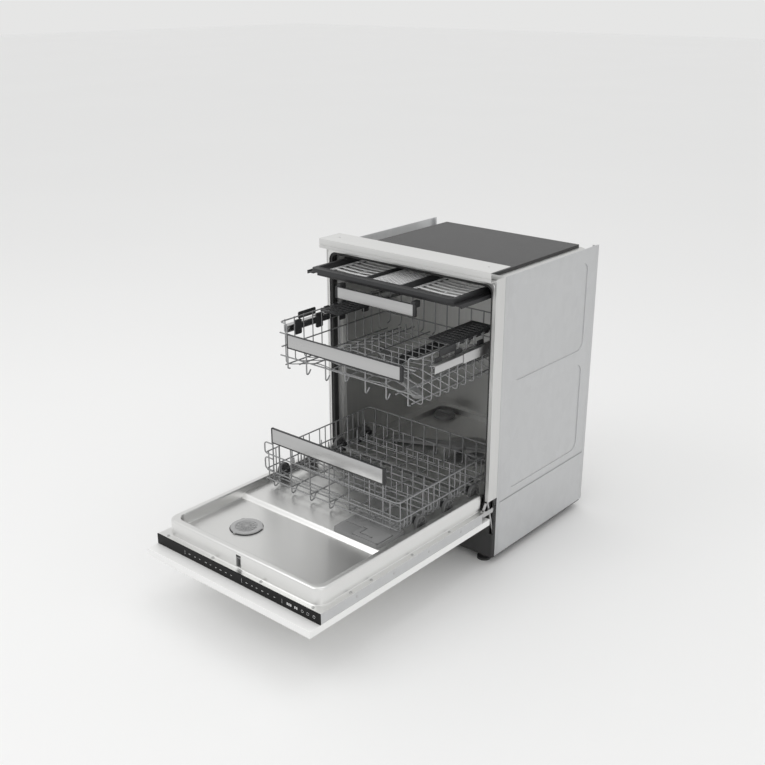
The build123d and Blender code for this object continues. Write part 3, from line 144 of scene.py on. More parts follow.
def chain(points, own_origin=False):
    """A line of joined points, left open in edit mode with its last point selected."""
    spots = [Vector(point) * MM for point in points]
    rest()
    bpy.ops.mesh.primitive_plane_add(size=MM, location=spots[0] if own_origin else (0, 0, 0))
    bpy.ops.object.mode_set(mode="EDIT")
    bpy.ops.mesh.select_mode(type="VERT")
    bpy.ops.mesh.merge(type="CENTER")
    if not own_origin:
        bpy.ops.transform.translate(value=spots[0])
    for a, b in zip(spots, spots[1:]):
        bpy.ops.mesh.extrude_vertices_move(TRANSFORM_OT_translate={"value": b - a})
    return bpy.context.object


def face_way(piece, way=(0, 0, 1)):
    """Turns a sheet's normals over if on the whole they look against a direction."""
    way = Vector(way)
    if sum(face.normal.dot(way) * face.area for face in piece.data.polygons) < 0:
        edit(piece)
        bpy.ops.mesh.flip_normals()
        shut()


def folded(line, left, right):
    """A sheet bent along a line of (y, z) points and drawn out across the machine."""
    piece = chain([(left, y, z) for y, z in line])
    bpy.ops.mesh.select_all(action="SELECT")
    bpy.ops.mesh.select_mode(type="EDGE")
    pull(x=right - left)
    bpy.ops.mesh.select_all(action="SELECT")
    bpy.ops.mesh.normals_make_consistent(inside=False)
    shut()
    face_way(piece)
    return piece


def merge_doubles(piece):
    """Joins points that coincide and turns all normals outward."""
    edit(piece)
    bpy.ops.mesh.remove_doubles(threshold=0.00001)
    bpy.ops.mesh.normals_make_consistent(inside=False)
    shut()
    return piece


def arc(centre, radius, start, end, steps):
    """Flat points of an arc, angles in degrees."""
    turns = [radians(start + (end - start) * i / steps) for i in range(steps + 1)]
    return [(centre[0] + radius * cos(t), centre[1] + radius * sin(t)) for t in turns]


def u_line(half, near, far, corner, z, steps=8):
    """A line down one side, round two corners and up the other side, open at the far end."""
    left = arc((corner - half, near + corner), corner, 180, 270, steps)
    right = arc((half - corner, near + corner), corner, 270, 360, steps)
    return [(x, y, z) for x, y in [(-half, far), *left, *right, (half, far)]]


def arch_line(half, top, low, corner, y, steps=7):
    """A line up one side, round two upper corners and down the other side."""
    left = arc((corner - half, top - corner), corner, 180, 90, steps)
    right = arc((half - corner, top - corner), corner, 90, 0, steps)
    return [(x, y, z) for x, z in [(-half, low), *left, *right, (half, low)]]


def lofted(lines):
    """Skins a row of open lines that have equal numbers of points."""
    piece = chain(lines[0])
    count = len(lines[0])
    for number, line in enumerate(lines[1:]):
        shut()
        other = chain(line)
        shut()
        piece = joined([piece, other])
        pick_points(piece, range(number * count, (number + 2) * count))
        bpy.ops.mesh.bridge_edge_loops()
    shut()
    return piece


def pick(piece, kind, parts, test):
    """Opens the piece with the points, edges or faces selected that pass the test."""
    edit(piece, kind, "DESELECT")
    shut()
    for part in getattr(piece.data, parts):
        part.select = bool(test(part))
    bpy.ops.object.mode_set(mode="EDIT")


def pick_points(piece, numbers):
    pick(piece, "VERT", "vertices", lambda point: point.index in numbers)


def pick_faces(piece, test):
    """Selects the faces whose centre and normal pass the test."""
    pick(piece, "FACE", "polygons", lambda face: test(face.center / MM, face.normal))


def rounded(piece, along, width, steps, test=lambda end: True):
    """Rounds the edges of a box that run along one axis and whose ends pass the test."""

    def chosen(edge):
        a, b = (piece.data.vertices[i].co / MM for i in edge.vertices)
        return abs(a["XYZ".index(along)] - b["XYZ".index(along)]) > 0.5 and test(a)

    pick(piece, "EDGE", "edges", chosen)
    bpy.ops.mesh.bevel(offset=width * MM, segments=steps, clamp_overlap=True)
    shut()
    return piece


def inset(amount):
    """Insets the selected faces as one region."""
    bpy.ops.mesh.inset(thickness=amount * MM, depth=0.0, use_even_offset=True)


def pull(x=0.0, y=0.0, z=0.0):
    """Extrudes the selected faces by a vector."""
    bpy.ops.mesh.extrude_region_move(TRANSFORM_OT_translate={"value": Vector((x, y, z)) * MM})


def modify(piece, kind, **settings):
    """Adds a modifier to the piece, sets it and applies it."""
    take(piece)
    modifier = piece.modifiers.new(kind.title(), kind)
    for key, value in settings.items():
        setattr(modifier, key, value)
    bpy.ops.object.modifier_apply(modifier=modifier.name)
    return piece


def soften(piece, width, steps=3, angle=40.0):
    """Rounds every edge sharper than the angle."""
    return modify(
        piece, "BEVEL", width=width * MM, segments=steps, limit_method="ANGLE",
        angle_limit=radians(angle), use_clamp_overlap=True,
    )


def pad(low, high, width, steps=3, angle=40.0):
    """A box between two corners with softened edges."""
    return soften(block(low, high), width, steps, angle)


def cut(piece, *cutters, operation="DIFFERENCE"):
    """Takes the cutters' shapes out of the piece, or with UNION welds them on."""
    for cutter in cutters:
        modify(piece, "BOOLEAN", operation=operation, solver="EXACT", object=cutter)
        bpy.data.objects.remove(cutter)
    return piece


def mirrored(piece):
    """Adds the piece's mirror image across the middle plane of the machine."""
    return modify(piece, "MIRROR", use_axis=(True, False, False), use_mirror_merge=False)


def thicken(piece, thick, offset=-1.0):
    """Gives a sheet its thickness, measured against its normals."""
    return modify(piece, "SOLIDIFY", thickness=thick * MM, offset=offset)


def repeat(piece, moves):
    """Copies the piece's mesh by each move in turn, inside the same piece."""
    edit(piece)
    for move in moves:
        bpy.ops.mesh.duplicate_move(TRANSFORM_OT_translate={"value": Vector(move) * MM})
    shut()
    return piece


def repeat_at(piece, places):
    """Repeats a piece that stands at the first place at the other places."""
    places = [Vector(place) for place in places]
    return repeat(piece, [b - a for a, b in zip(places, places[1:])])


def moved(piece, x=0.0, y=0.0, z=0.0):
    take(piece)
    bpy.ops.transform.translate(value=Vector((x, y, z)) * MM)
    return settle(piece)


def turned(piece, angle, centre, axis="Z"):
    """Turns the piece about an axis through a point, in degrees."""
    take(piece)
    bpy.ops.transform.rotate(
        value=-radians(angle), orient_axis=axis, center_override=Vector(centre) * MM
    )
    return settle(piece)


def copied(piece):
    take(piece)
    bpy.ops.object.duplicate()
    return bpy.context.object


def joined(pieces):
    """Makes one piece of several."""
    take(pieces[0])
    for piece in pieces:
        piece.select_set(True)
    if len(pieces) > 1:
        bpy.ops.object.join()
    return bpy.context.object


def curve_through(points, bend=0.0, own_origin=False):
    """An open curve through the points, its corners bent to a radius."""
    chain(points, own_origin)
    if bend:
        bpy.ops.mesh.select_all(action="SELECT")
        bpy.ops.mesh.bevel(offset=bend * MM, segments=5, affect="VERTICES")
    shut()
    bpy.ops.object.convert(target="CURVE")
    return bpy.context.object


def tube(points, size, bend=0.0, tip=False):
    """A round wire through the points; a tip narrows towards its last point."""
    points = [Vector(point) for point in points]
    bend = bend if len(points) > 2 else 0.0
    if tip:
        points.insert(-1, points[-1] + (points[-2] - points[-1]).normalized() * size * 0.35)
    wire = curve_through(points, bend, own_origin=True)
    line = wire.data
    line.bevel_depth = size / 2 * MM
    line.bevel_resolution = 3
    line.use_fill_caps = True
    if tip:
        ends = (line.splines[0].points[0], line.splines[0].points[-1])
        away = wire.location - points[-1] * MM
        min(ends, key=lambda end: (end.co.xyz + away).length).radius = 0.5
    bpy.ops.object.convert(target="MESH")
    return merge_doubles(settle(bpy.context.object))


def rods(points, size, bend, places, tip=False):
    """Copies of one wire, moved from its own place by each vector."""
    return repeat_at(moved(tube(points, size, bend, tip), *places[0]), places)


def swept(path, profile):
    """A profile of (sideways, up) points carried along a path; sideways is to its right."""
    line = curve_through(path)
    section = curve_through([(-x, y, 0) for x, y in profile])
    section.data.dimensions = "2D"
    line.data.bevel_mode = "OBJECT"
    line.data.bevel_object = section
    line.data.twist_mode = "Z_UP"
    take(line)
    bpy.ops.object.convert(target="MESH")
    bpy.data.objects.remove(section)
    return bpy.context.object


def dress(piece, finish):
    """Gives the piece one finish."""
    piece.data.materials.clear()
    piece.data.materials.append(material(finish))


def hand_over(piece, name, finish, body="root", replaces=()):
    """Names a finished piece, smooths it, gives it its finish and hangs it on its body."""
    take(piece)
    piece.name = piece.data.name = name
    bpy.ops.object.shade_smooth_by_angle(angle=radians(35))
    dress(piece, finish)
    for face in piece.data.polygons:
        face.material_index = 0
    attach(piece, body)
    if replaces:
        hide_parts(*replaces)
    rest()


# Finishes


class Link:
    """An output socket that can stand in a Python sum."""

    def __init__(self, sheet, socket):
        self.sheet = sheet
        self.socket = socket

    def _sum(self, operation, first, second):
        return self.sheet.add("Math", {"operation": operation}, {0: first, 1: second})

    def __add__(self, other):
        return self._sum("ADD", self, other)

    def __sub__(self, other):
        return self._sum("SUBTRACT", self, other)

    def __rsub__(self, other):
        return self._sum("SUBTRACT", other, self)

    def __mul__(self, other):
        return self._sum("MULTIPLY", self, other)

    def __gt__(self, other):
        return self._sum("GREATER_THAN", self, other)

    def __lt__(self, other):
        return self._sum("LESS_THAN", self, other)

    def larger(self, other):
        return self._sum("MAXIMUM", self, other)

    __radd__ = __add__
    __rmul__ = __mul__


class Sheet:
    """The node sheet of one finish, or of the world."""

    def __init__(self, name, world=None):
        self.owner = world or bpy.data.materials.new(f"{name}_finish")
        self.owner.use_nodes = True
        self.tree = self.owner.node_tree
        self.tree.nodes.clear()

    def add(self, kind, settings=None, inputs=None, output=0):
        """Adds a node, its settings first and then its sockets, and returns one output."""
        node = self.tree.nodes.new("ShaderNode" + kind)
        for key, value in (settings or {}).items():
            setattr(node, key, value)
        for key, value in (inputs or {}).items():
            if isinstance(value, Link):
                self.tree.links.new(value.socket, node.inputs[key])
            else:
                node.inputs[key].default_value = value
        return Link(self, node.outputs[output]) if node.outputs else None

    def place(self, stretch):
        """Object coordinates in metres, stretched."""
        spot = self.add("TexCoord", output="Object")
        return self.add("Mapping", None, {"Vector": spot, "Scale": stretch})

    def cloud(self, scale, stretch=(1, 1, 1), detail=3.0, rough=0.5):
        """Noise from 0 to 1 over object coordinates."""
        return self.add("TexNoise", {"noise_dimensions": "3D"}, {
            "Vector": self.place(stretch), "Scale": scale, "Detail": detail, "Roughness": rough,
        })

    def cells(self, scale, stretch=(1, 1, 1), output="Distance"):
        inputs = {"Vector": self.place(stretch), "Scale": scale}
        return self.add("TexVoronoi", {"feature": "F1"}, inputs, output)

    def mix(self, share, first, second):
        """A colour between two colours."""
        inputs = {0: share, 6: (*first, 1.0), 7: (*second, 1.0)}
        return self.add("Mix", {"data_type": "RGBA"}, inputs, output=2)

    def tones(self, share, colour, low, high):
        """A colour that varies between two shares of its brightness."""
        return self.mix(share, darker(colour, low), darker(colour, high))

    def bump(self, height, strength, distance):
        inputs = {"Height": height, "Strength": strength, "Distance": distance * MM}
        return self.add("Bump", None, inputs)

    def close(self, colour, rough, metal=0.0, normal=None, **plain):
        """The surface shader, with its plain numbers set on its own sockets."""
        inputs = {"Base Color": colour, "Roughness": rough, "Metallic": metal}
        inputs.update({key.replace("_", " "): value for key, value in plain.items()})
        if normal:
            inputs["Normal"] = normal
        shader = self.add("BsdfPrincipled", None, inputs)
        self.add("OutputMaterial", None, {"Surface": shader})
        return self.owner


def shade(value, tint=(1.0, 1.0, 1.0)):
    return tuple(value * t for t in tint)


def darker(colour, share):
    return tuple(c * share for c in colour)


def brushed(sheet, colour, along, rough, streak=0.10):
    """Steel or aluminium with hair lines along one axis and faint cloudy wipe marks."""
    hair = sheet.cloud(1.0, [8 if axis == along else 900 for axis in "XYZ"], 4.0, 0.7)
    band = sheet.cloud(1.0, [2 if axis == along else 120 for axis in "XYZ"], 2.0)
    wipe = sheet.cloud(7.0)
    tone = sheet.tones(0.55 * hair + 0.45 * band, colour, 0.90, 1.07)
    gloss = rough + streak * (hair - 0.5) + 0.12 * (wipe - 0.5)
    return sheet.close(tone, gloss, 1.0, sheet.bump(hair, 0.12, 0.05))


def cloudy_steel(sheet, colour, rough):
    """Smooth deep-drawn steel with broad soft variation."""
    broad = sheet.cloud(3.0, detail=2.0)
    hair = sheet.cloud(1.0, (14, 700, 700), 4.0, 0.65)
    tone = sheet.tones(broad * 0.6 + hair * 0.4, colour, 0.95, 1.04)
    gloss = rough + 0.06 * (broad - 0.5) + 0.10 * (hair - 0.5)
    return sheet.close(tone, gloss, 1.0, sheet.bump(hair, 0.05, 0.03))


def galvanised(sheet, colour):
    """Zinc-coated sheet with faint crystal spangle."""
    flake = sheet.add("RGBToBW", None, {"Color": sheet.cells(55.0, (1, 1, 0.6), "Color")})
    stain = sheet.cloud(9.0, detail=4.0, rough=0.6)
    tone = sheet.tones(flake * 0.6 + stain * 0.4, colour, 0.94, 1.05)
    gloss = 0.42 + 0.10 * (flake - 0.5) + 0.06 * (stain - 0.5)
    return sheet.close(tone, gloss, 0.85, sheet.bump(flake, 0.04, 0.1))


def painted(sheet, colour, rough, peel=0.05, coat=0.0):
    """Sprayed paint: a very fine orange peel and a trace of dust in the colour."""
    skin = sheet.cloud(420.0, detail=2.0)
    drift = sheet.cloud(3.0)
    tone = sheet.tones(drift, colour, 0.985, 1.01)
    gloss = rough + 0.05 * (drift - 0.5) + 0.04 * (skin - 0.5)
    return sheet.close(tone, gloss, 0.0, sheet.bump(skin, peel, 0.3), Coat_Weight=coat)


def moulded(sheet, colour, rough, grain=0.25, scale=900.0):
    """Moulded plastic with a spark-eroded grain and slight flow marks."""
    pits = sheet.cloud(scale, rough=0.6)
    flow = sheet.cloud(12.0, (1, 1, 3))
    tone = sheet.tones(flow, colour, 0.90, 1.10)
    gloss = rough + 0.10 * (flow - 0.5) + 0.08 * (pits - 0.5)
    return sheet.close(tone, gloss, 0.0, sheet.bump(pits, grain, 0.12), Specular_IOR_Level=0.3)


def nylon(sheet, colour):
    """Sprayed nylon coat of the rack wires: slightly pebbled and waxy."""
    pebble = sheet.cloud(350.0, detail=2.0)
    worn = sheet.cloud(18.0, rough=0.6)
    tone = sheet.tones(worn, colour, 0.88, 1.12)
    gloss = 0.34 + 0.10 * (worn - 0.5)
    return sheet.close(tone, gloss, 0.35, sheet.bump(pebble, 0.15, 0.15), Coat_Weight=0.25)


def glossy_black(sheet, colour):
    """Black lacquered glass-like strip with faint wipe marks."""
    wipe = sheet.cloud(26.0, (1, 4, 4))
    tone = sheet.tones(wipe, colour, 0.9, 1.15)
    return sheet.close(tone, 0.16 + 0.10 * wipe, Specular_IOR_Level=0.14)


def rubber(sheet, colour):
    """Seal rubber with a dull bloom and fine pores."""
    bloom = sheet.cloud(30.0, detail=4.0, rough=0.6)
    pores = sheet.cloud(700.0, detail=2.0)
    tone = sheet.tones(bloom, colour, 0.8, 1.5)
    return sheet.close(tone, 0.62 + 0.16 * (bloom - 0.5), 0.0, sheet.bump(pores, 0.3, 0.2))


def felt(sheet, colour):
    """Bitumen-backed felt: matted short fibres."""
    fibre = sheet.cloud(260.0, detail=6.0, rough=0.75)
    clump = sheet.cloud(28.0, detail=4.0, rough=0.6)
    tone = sheet.tones(fibre * 0.6 + clump * 0.4, colour, 0.55, 1.5)
    return sheet.close(tone, 0.95, 0.0, sheet.bump(fibre, 0.7, 1.2), Sheen_Weight=0.2)


def cast(sheet, colour):
    """Rough cast iron or concrete of the counterweight."""
    sand = sheet.cloud(180.0, detail=5.0, rough=0.7)
    lump = sheet.cloud(20.0)
    tone = sheet.tones(sand * 0.5 + lump * 0.5, colour, 0.6, 1.35)
    return sheet.close(tone, 0.75 + 0.15 * (sand - 0.5), 0.3, sheet.bump(sand, 0.6, 0.8))


def pierced(sheet, colour):
    """Fine stainless filter sheet with a field of small round holes."""
    away = sheet.cells(620.0)
    hole = away > 0.30
    tone = sheet.tones(hole, colour, 0.05, 1.0)
    return sheet.close(tone, 0.35, hole * 0.9, sheet.bump(away, 0.3, 0.3))


FINISHES = {
    "white_lacquer": lambda s, c: painted(s, c.panel, 0.32, 0.05, 0.15),
    "satin_bar": lambda s, c: brushed(s, shade(0.50), "X", 0.30),
    "liner_steel": lambda s, c: cloudy_steel(s, c.steel, 0.33),
    "tub_steel": lambda s, c: brushed(s, darker(c.steel, 0.90), "Z", 0.44, 0.06),
    "zinc_sheet": lambda s, c: galvanised(s, shade(0.60, (1.0, 1.01, 1.02))),
    "frame_paint": lambda s, c: painted(s, c.frame, 0.42),
    "rack_nylon": lambda s, c: nylon(s, c.wire),
    "dark_plastic": lambda s, c: moulded(s, c.dark, 0.46),
    "vent_plastic": lambda s, c: moulded(s, darker(c.grey, 1.75), 0.36, 0.15),
    "wheel_plastic": lambda s, c: moulded(s, darker(c.grey, 0.5), 0.45, 0.2),
    # plain dark plastic used only for the painted shade under and round the vent
    "soft_black": lambda s, c: moulded(s, darker(c.dark, 0.7), 0.55, 0.35, 600.0),
    "grey_plastic": lambda s, c: moulded(s, c.grey, 0.42, 0.2),
    "pale_slats": lambda s, c: moulded(s, shade(0.80), 0.32, 0.1),
    "strip_black": lambda s, c: glossy_black(s, shade(0.008)),
    "strip_marks": lambda s, c: painted(s, shade(0.78), 0.5),
    "seal_rubber": lambda s, c: rubber(s, shade(0.03)),
    "bright_parts": lambda s, c: brushed(s, shade(0.55), "Y", 0.33),
    "grey_felt": lambda s, c: felt(s, shade(0.045)),
    "cast_weight": lambda s, c: cast(s, shade(0.16)),
    "filter_sheet": lambda s, c: pierced(s, shade(0.6)),
    "warm_black": lambda s, c: moulded(s, shade(0.045), 0.6, 0.4, 500.0),
}


def material(name):
    """The finish of that name, made when it is first asked for."""
    found = bpy.data.materials.get(f"{name}_finish")
    return found or FINISHES[name](Sheet(name), bpy.context.scene.dishwasher_colours)


# Settings


def colour(name, description, default):
    """A colour that a user may change."""
    return FloatVectorProperty(
        name=name, description=description, default=default, subtype="COLOR", min=0.0, max=1.0
    )


def measure(name, description, default, least, most, unit="LENGTH"):
    """A length in metres, or another measure, that a user may change."""
    return FloatProperty(
        name=name, description=description, default=default, unit=unit, min=least, max=most
    )


class DishwasherColours(bpy.types.PropertyGroup):
    """Colours a user may change."""

    panel: colour("Panel", "Lacquer of the furniture panel", (0.87, 0.87, 0.86))
    steel: colour("Liner", "Steel of the tub and the door liner", (0.80, 0.80, 0.79))
    frame: colour("Frame", "Paint of the front frame and top rail", (0.62, 0.62, 0.61))
    wire: colour("Rack wire", "Nylon coat of the racks", (0.27, 0.273, 0.277))
    dark: colour("Dark plastic", "Tray frame, clips and end caps", (0.035, 0.0355, 0.037))
    grey: colour("Grey plastic", "Dispenser, vent, wheels and spray arms", (0.235, 0.236, 0.236))


class DishwasherSizes(bpy.types.PropertyGroup):
    """Sizes a user may change, in metres."""

    wire: measure("Rack wire", "Diameter of the thick rack wires", 0.004, 0.002, 0.006)
    tine: measure("Tine wire", "Diameter of tines and uprights", 0.0032, 0.002, 0.006)
    bend: measure("Bend", "Radius at which rack wires are bent", 0.009, 0.003, 0.02)
    slats: IntProperty(
        name="Slats", description="Slats in each half of the cutlery tray",
        default=16, min=6, max=24,
    )


class StageSettings(bpy.types.PropertyGroup):
    """Camera and light of the plain stage."""

    lens: measure("Lens", "Focal length in millimetres", 49.63, 20.0, 200.0, "NONE")
    sky: measure("Sky", "Strength of the surrounding soft light", 0.86, 0.0, 3.0, "NONE")
    key: measure("Key light", "Power of the large lamp above", 26.0, 0.0, 500.0, "POWER")


def sizes():
    """Wire, tine wire and bend radius in millimetres."""
    chosen = bpy.context.scene.dishwasher_sizes
    return chosen.wire / MM, chosen.tine / MM, chosen.bend / MM


# Frame finishes and the door


class DISHWASHER_OT_frame_finishes(bpy.types.Operator):
    """Gives every frame node that stays visible its finish"""

    bl_idname = "dishwasher.frame_finishes"
    bl_label = "Frame finishes"

    def execute(self, context):
        plain = {
            "white_lacquer": "furniture_panel",
            "satin_bar": "panel_handle lower_handle upper_handle tray_handle",
            "zinc_sheet": "door_shell side_panels",
            "liner_steel": "door_liner door_rim",
            "tub_steel": "tub_wrapper tub_back tub_floor",
            "frame_paint": "front_frame top_rail",
            "strip_black": "control_strip",
            "seal_rubber": "door_seal",
            "bright_parts": "door_screws hinge_arms hinge_brackets door_springs tub_runners"
                            " upper_slides",
            "grey_plastic": "dispenser_body detergent_lid rinse_aid_cap door_vent filter_cup"
                            " salt_cap door_lock lower_spray_arm middle_spray_arm top_spray_arm",
            "dark_plastic": "feed_pipe rack_feed tray_frame cup_shelf_left cup_shelf_right"
                            " height_lever_left height_lever_right upper_carriers lower_wheels_1"
                            " lower_wheels_2 lower_wheels_3 lower_wheels_4",
            "warm_black": "base_tray levelling_feet sump wash_pump water_connections",
            "rack_nylon": "lower_rack_floor lower_rack_walls lower_tines_middle lower_tines_rear"
                          " upper_rack_floor upper_rack_walls upper_tines",
            "pale_slats": "tray_inserts",
            "grey_felt": "insulation",
            "cast_weight": "counterweight",
            "filter_sheet": "filter_plate",
        }
        left = set(frame["nodes"])
        for finish, names in plain.items():
            for name in names.split():
                dress(frame["nodes"][name], finish)
                left.discard(name)
        if left:
            raise RuntimeError(f"no finish for {sorted(left)}")
        return {"FINISHED"}


class DISHWASHER_OT_door_liner(bpy.types.Operator):
    """Presses the steel liner: flange, raised rim, deep pan, plateau and rolled end"""

    bl_idname = "dishwasher.door_liner"
    bl_label = "Door liner"

    land = 21.0
    outer_corner = 30.0
    inner_corner = 24.0

    def execute(self, context):
        rim_low, rim_high = corners("door_rim")
        flange_top = corners("door_liner")[0].z + 0.9
        rim, hinge_y, rim_top = rim_high
        _, rim_front, plateau = rim_low
        inner = rim - self.land
        inner_front = rim_front + self.land
        skirt, lip, edge, foot = 17.0, 7.0, 5.0, 4.5  # flange width and the radii of the bends
        sixth = [radians(15 * i) for i in range(7)]
        quarter = [radians(22.5 * i) for i in range(5)]
        levels = [(skirt, 1.5 - self.outer_corner - skirt, flange_top)]
        levels += [(3.0 * (1 - sin(t)), 0, flange_top + 3.0 * (1 - cos(t))) for t in quarter]
        levels += [(-0.8 - lip * (1 - cos(t)), 0, rim_top - lip * (1 - sin(t))) for t in sixth]
        outer = [
            u_line(rim + out, rim_front - out, hinge_y, self.outer_corner + out + more, z)
            for out, more, z in levels
        ]
        levels = [(edge * (1 - sin(t)), rim_top - edge * (1 - cos(t))) for t in quarter]
        levels += [(-0.8 - foot * (1 - cos(t)), PAN_LEVEL + foot * (1 - sin(t))) for t in quarter]
        inside = [
            u_line(inner + out, inner_front - out, hinge_y, self.inner_corner + out, z)
            for out, z in levels
        ]
        plate = lofted(outer + inside)
        count = len(inside[0])
        pick_points(plate, range(len(plate.data.vertices) - count, len(plate.data.vertices)))
        bpy.ops.mesh.edge_face_add()
        bpy.ops.mesh.select_all(action="SELECT")
        bpy.ops.mesh.normals_make_consistent(inside=False)
        shut()
        face_way(plate)
        self.slot(plate, rim_front, flange_top + 4, rim_top - 9)
        thicken(plate, 0.8)
        flange = block(
            (-rim - 6, rim_front - 6, flange_top - 0.5), (rim + 6, hinge_y, flange_top + 0.6)
        )
        rounded(flange, "Z", 36.0, 9, lambda end: end.y < 0)
        soften(flange, 0.25, 2)
        # the step up to the plateau, and the far end rolled down round the hinge axis
        step = rim_front + 260.0
        floor = PAN_LEVEL - 0.3
        line = [
            (step - 15 + 15 * t, floor + (plateau - floor) * (3 * t * t - 2 * t ** 3))
            for t in (i / 10 for i in range(11))
        ]
        reach = plateau - HINGE_HEIGHT
        roll = [radians(6 * i) for i in range(9)]
        line += [(hinge_y + reach * sin(t), HINGE_HEIGHT + reach * cos(t)) for t in roll]
        deck = thicken(folded(line, -inner - 2, inner + 2), 0.8)
        hand_over(
            joined([plate, flange, deck]), "pressed_liner", "liner_steel", "root",
            ("door_liner", "door_rim"),
        )
        return {"FINISHED"}

    def slot(self, plate, near, low, high, half=8.5):
        """Opens the slot of the lock in the front wall."""

        def wall(spot, normal):
            return normal.y < -0.95 and abs(spot.y - near) < 1.0

        for place, normal in (
            ((-half, near, low), (1, 0, 0)), ((half, near, low), (1, 0, 0)),
            ((0, near, low), (0, 0, 1)), ((0, near, high), (0, 0, 1)),
        ):
            pick_faces(plate, wall)
            bpy.ops.mesh.bisect(plane_co=Vector(place) * MM, plane_no=normal)
            shut()
        pick_faces(plate, lambda c, n: wall(c, n) and abs(c.x) < half and low < c.z < high)
        bpy.ops.mesh.delete(type="FACE")
        shut()


class DISHWASHER_OT_door_fittings(bpy.types.Operator):
    """Makes the screws, the strip's marks, the vent and the dispenser's housing"""

    bl_idname = "dishwasher.door_fittings"
    bl_label = "Door fittings"

    def execute(self, context):
        self.screws()
        self.marks()
        self.vent()
        self.dispenser()
        return {"FINISHED"}

    def screws(self):
        """Pan-head screws with a cross recess, standing on the flange."""
        low, high = corners("door_screws")
        radius = 4.2
        front, side = low.y + radius, high.x - radius
        fascia = 42.75  # Y place of the machine's front, from which the side screws are measured
        outer = 297.1  # X place of the screws in the edge of the door
        places = [(x, front) for x in (-265, -88, 88, 265)]
        for x in (-side, side):
            places += [(x, fascia - away) for away in (503, 428, 269, 111)]
        places = [(x, y, low.z) for x, y in places]
        x, y, z = places[0]
        head = soften(disc((x, y, z + 1.0), radius, 2.0, sides=20, top=3.6), 0.5, 2)
        cut(
            head,
            block((x - 2.2, y - 0.45, z + 1.0), (x + 2.2, y + 0.45, z + 3.0)),
            block((x - 0.45, y - 2.2, z + 1.0), (x + 0.45, y + 2.2, z + 3.0)),
        )
        repeat_at(head, places)
        places = [(outer, fascia - away, 172) for away in (490, 350, 210, 70)]
        side = soften(disc(places[0], 3.6, 1.4, "X", 20), 0.4, 2)
        mirrored(repeat_at(side, places))
        hand_over(
            joined([head, side]), "liner_screws", "bright_parts", "root", ("door_screws",),
        )

    def marks(self):
        """Plain generic touch marks on the black strip: dashes, dots and rings."""
        low, high = corners("control_strip")
        near, far = low.y - 0.12, low.y + 0.3
        middle = (low.z + high.z) / 2
        spots = [-168, -146, -128, -104, -86, -66, -48, -28, -8, 48, 68, 84, 104, 124, 146]
        bars = [(x, 0.3, 6) for x in (-186, 30, 172)]
        bars += [(x, 2.25 if index % 3 else 3.5, 0.6) for index, x in enumerate(spots)]
        bars += [(x, 1.6, 3.4) for x in (190, 196, 202, 216, 222)]
        pieces = [
            block((x - half, near, middle - up), (x + half, far, middle + up))
            for x, half, up in bars
        ]
        for x in (240, 258, 278):
            pieces.append(hoop((x, low.y + 0.15, middle), 3.6, 0.7, "Y", 24))
        pieces.append(block((277.6, near, middle + 1), (278.4, far, middle + 5.4)))
        hand_over(joined(pieces), "strip_marks", "strip_marks", "root")

    def vent(self):
        """Round vent: domed ring with a fine grille and three lugs, set on dark discs of painted
        shade.
        """
        x, y = VENT
        base = PAN_LEVEL
        outer, lug_ring = 43.0, 40.0
        ring = disc((x, y, base + 2.5), outer, 5.0, sides=64)
        pick_faces(ring, lambda c, n: n.z > 0.9)
        inset(13.0)
        pull(z=-3.2)
        shut()
        soften(ring, 1.6, 4, 50)
        parts = [ring]
        for t in (radians(angle) for angle in (30, 150, 270)):
            spot = (x + lug_ring * cos(t), y + lug_ring * sin(t), base + 2.4)
            parts.append(soften(disc(spot, 6.5, 4.8, sides=24), 1.0))
        for radius in (9.0, 16.0, 23.0):
            parts.append(hoop((x, y, base + 3.0), radius, 1.4))
        for angle in range(0, 180, 30):
            rib = block((x - 28, y - 0.7, base + 2.2), (x + 28, y + 0.7, base + 3.6))
            parts.append(turned(rib, angle, (x, y, 0)))
        parts.append(soften(disc((x, y, base + 3.2), 4.0, 2.6, sides=24), 0.6, 2))
        hand_over(
            joined(parts), "vent_grille", "vent_plastic", "root", ("door_vent",)
        )
        # Painted shade: a dark disc in the hollow under the grille, and a wider dark ring round the
        # vent's foot that paints the shadow gap round the ring.
        well = disc((x, y, base + 1.0), 29.5, 1.2, sides=48)
        painted_shadow_ring = soften(disc((x, y, base + 0.6), 45.2, 1.6, sides=64), 0.5, 2)
        soften(well, 0.2, 1)
        hand_over(joined([well, painted_shadow_ring]), "vent_well", "soft_black", "root")

    def dispenser(self):
        """Grey two-part dispenser with its rounded shoulders and recessed lid bed."""
        low, high = corners("dispenser_body")
        lid_low, lid_high = corners("detergent_lid")
        cap_low, cap_high = corners("rinse_aid_cap")
        cap_x, cap_y, _ = (cap_low + cap_high) / 2
        plateau = corners("door_rim")[0].z
        body = rounded(block((low.x, low.y, plateau - 0.5), (high.x, high.y, high.z)), "Z", 12.0, 6)
        pick_faces(body, lambda c, n: n.z > 0.9)
        bpy.ops.transform.resize(
            value=(0.985, 0.98, 1),
            center_override=((low.x + high.x) / 2 * MM, (low.y + high.y) / 2 * MM, 0),
        )
        shut()
        top = high.z
        cut(
            body,
            block(
                (lid_low.x - 0.6, lid_low.y + 1.0, top - 2.4),
                (lid_high.x + 0.6, lid_high.y + 0.6, top + 5),
            ),
            block(
                (lid_low.x + 6, lid_low.y + 6, plateau + 1.5),
                (lid_high.x - 6, lid_high.y - 6, top + 5),
            ),
            disc((cap_x, cap_y, top), 17.7, 6.0),
        )
        # two shallow grooves across the housing
        cut(
            body,
            block((low.x + 8, high.y - 30, top - 1.0), (lid_high.x - 34, high.y - 27, top + 2)),
            block((low.x + 10, LATCH - 1.4, top - 4.0), (lid_low.x + 4, LATCH + 1.4, top + 2)),
        )
        soften(body, 0.7, 2, 50)
        hand_over(
            body, "dispenser_housing", "grey_plastic", "root", ("dispenser_body",)
        )


# Handle bars


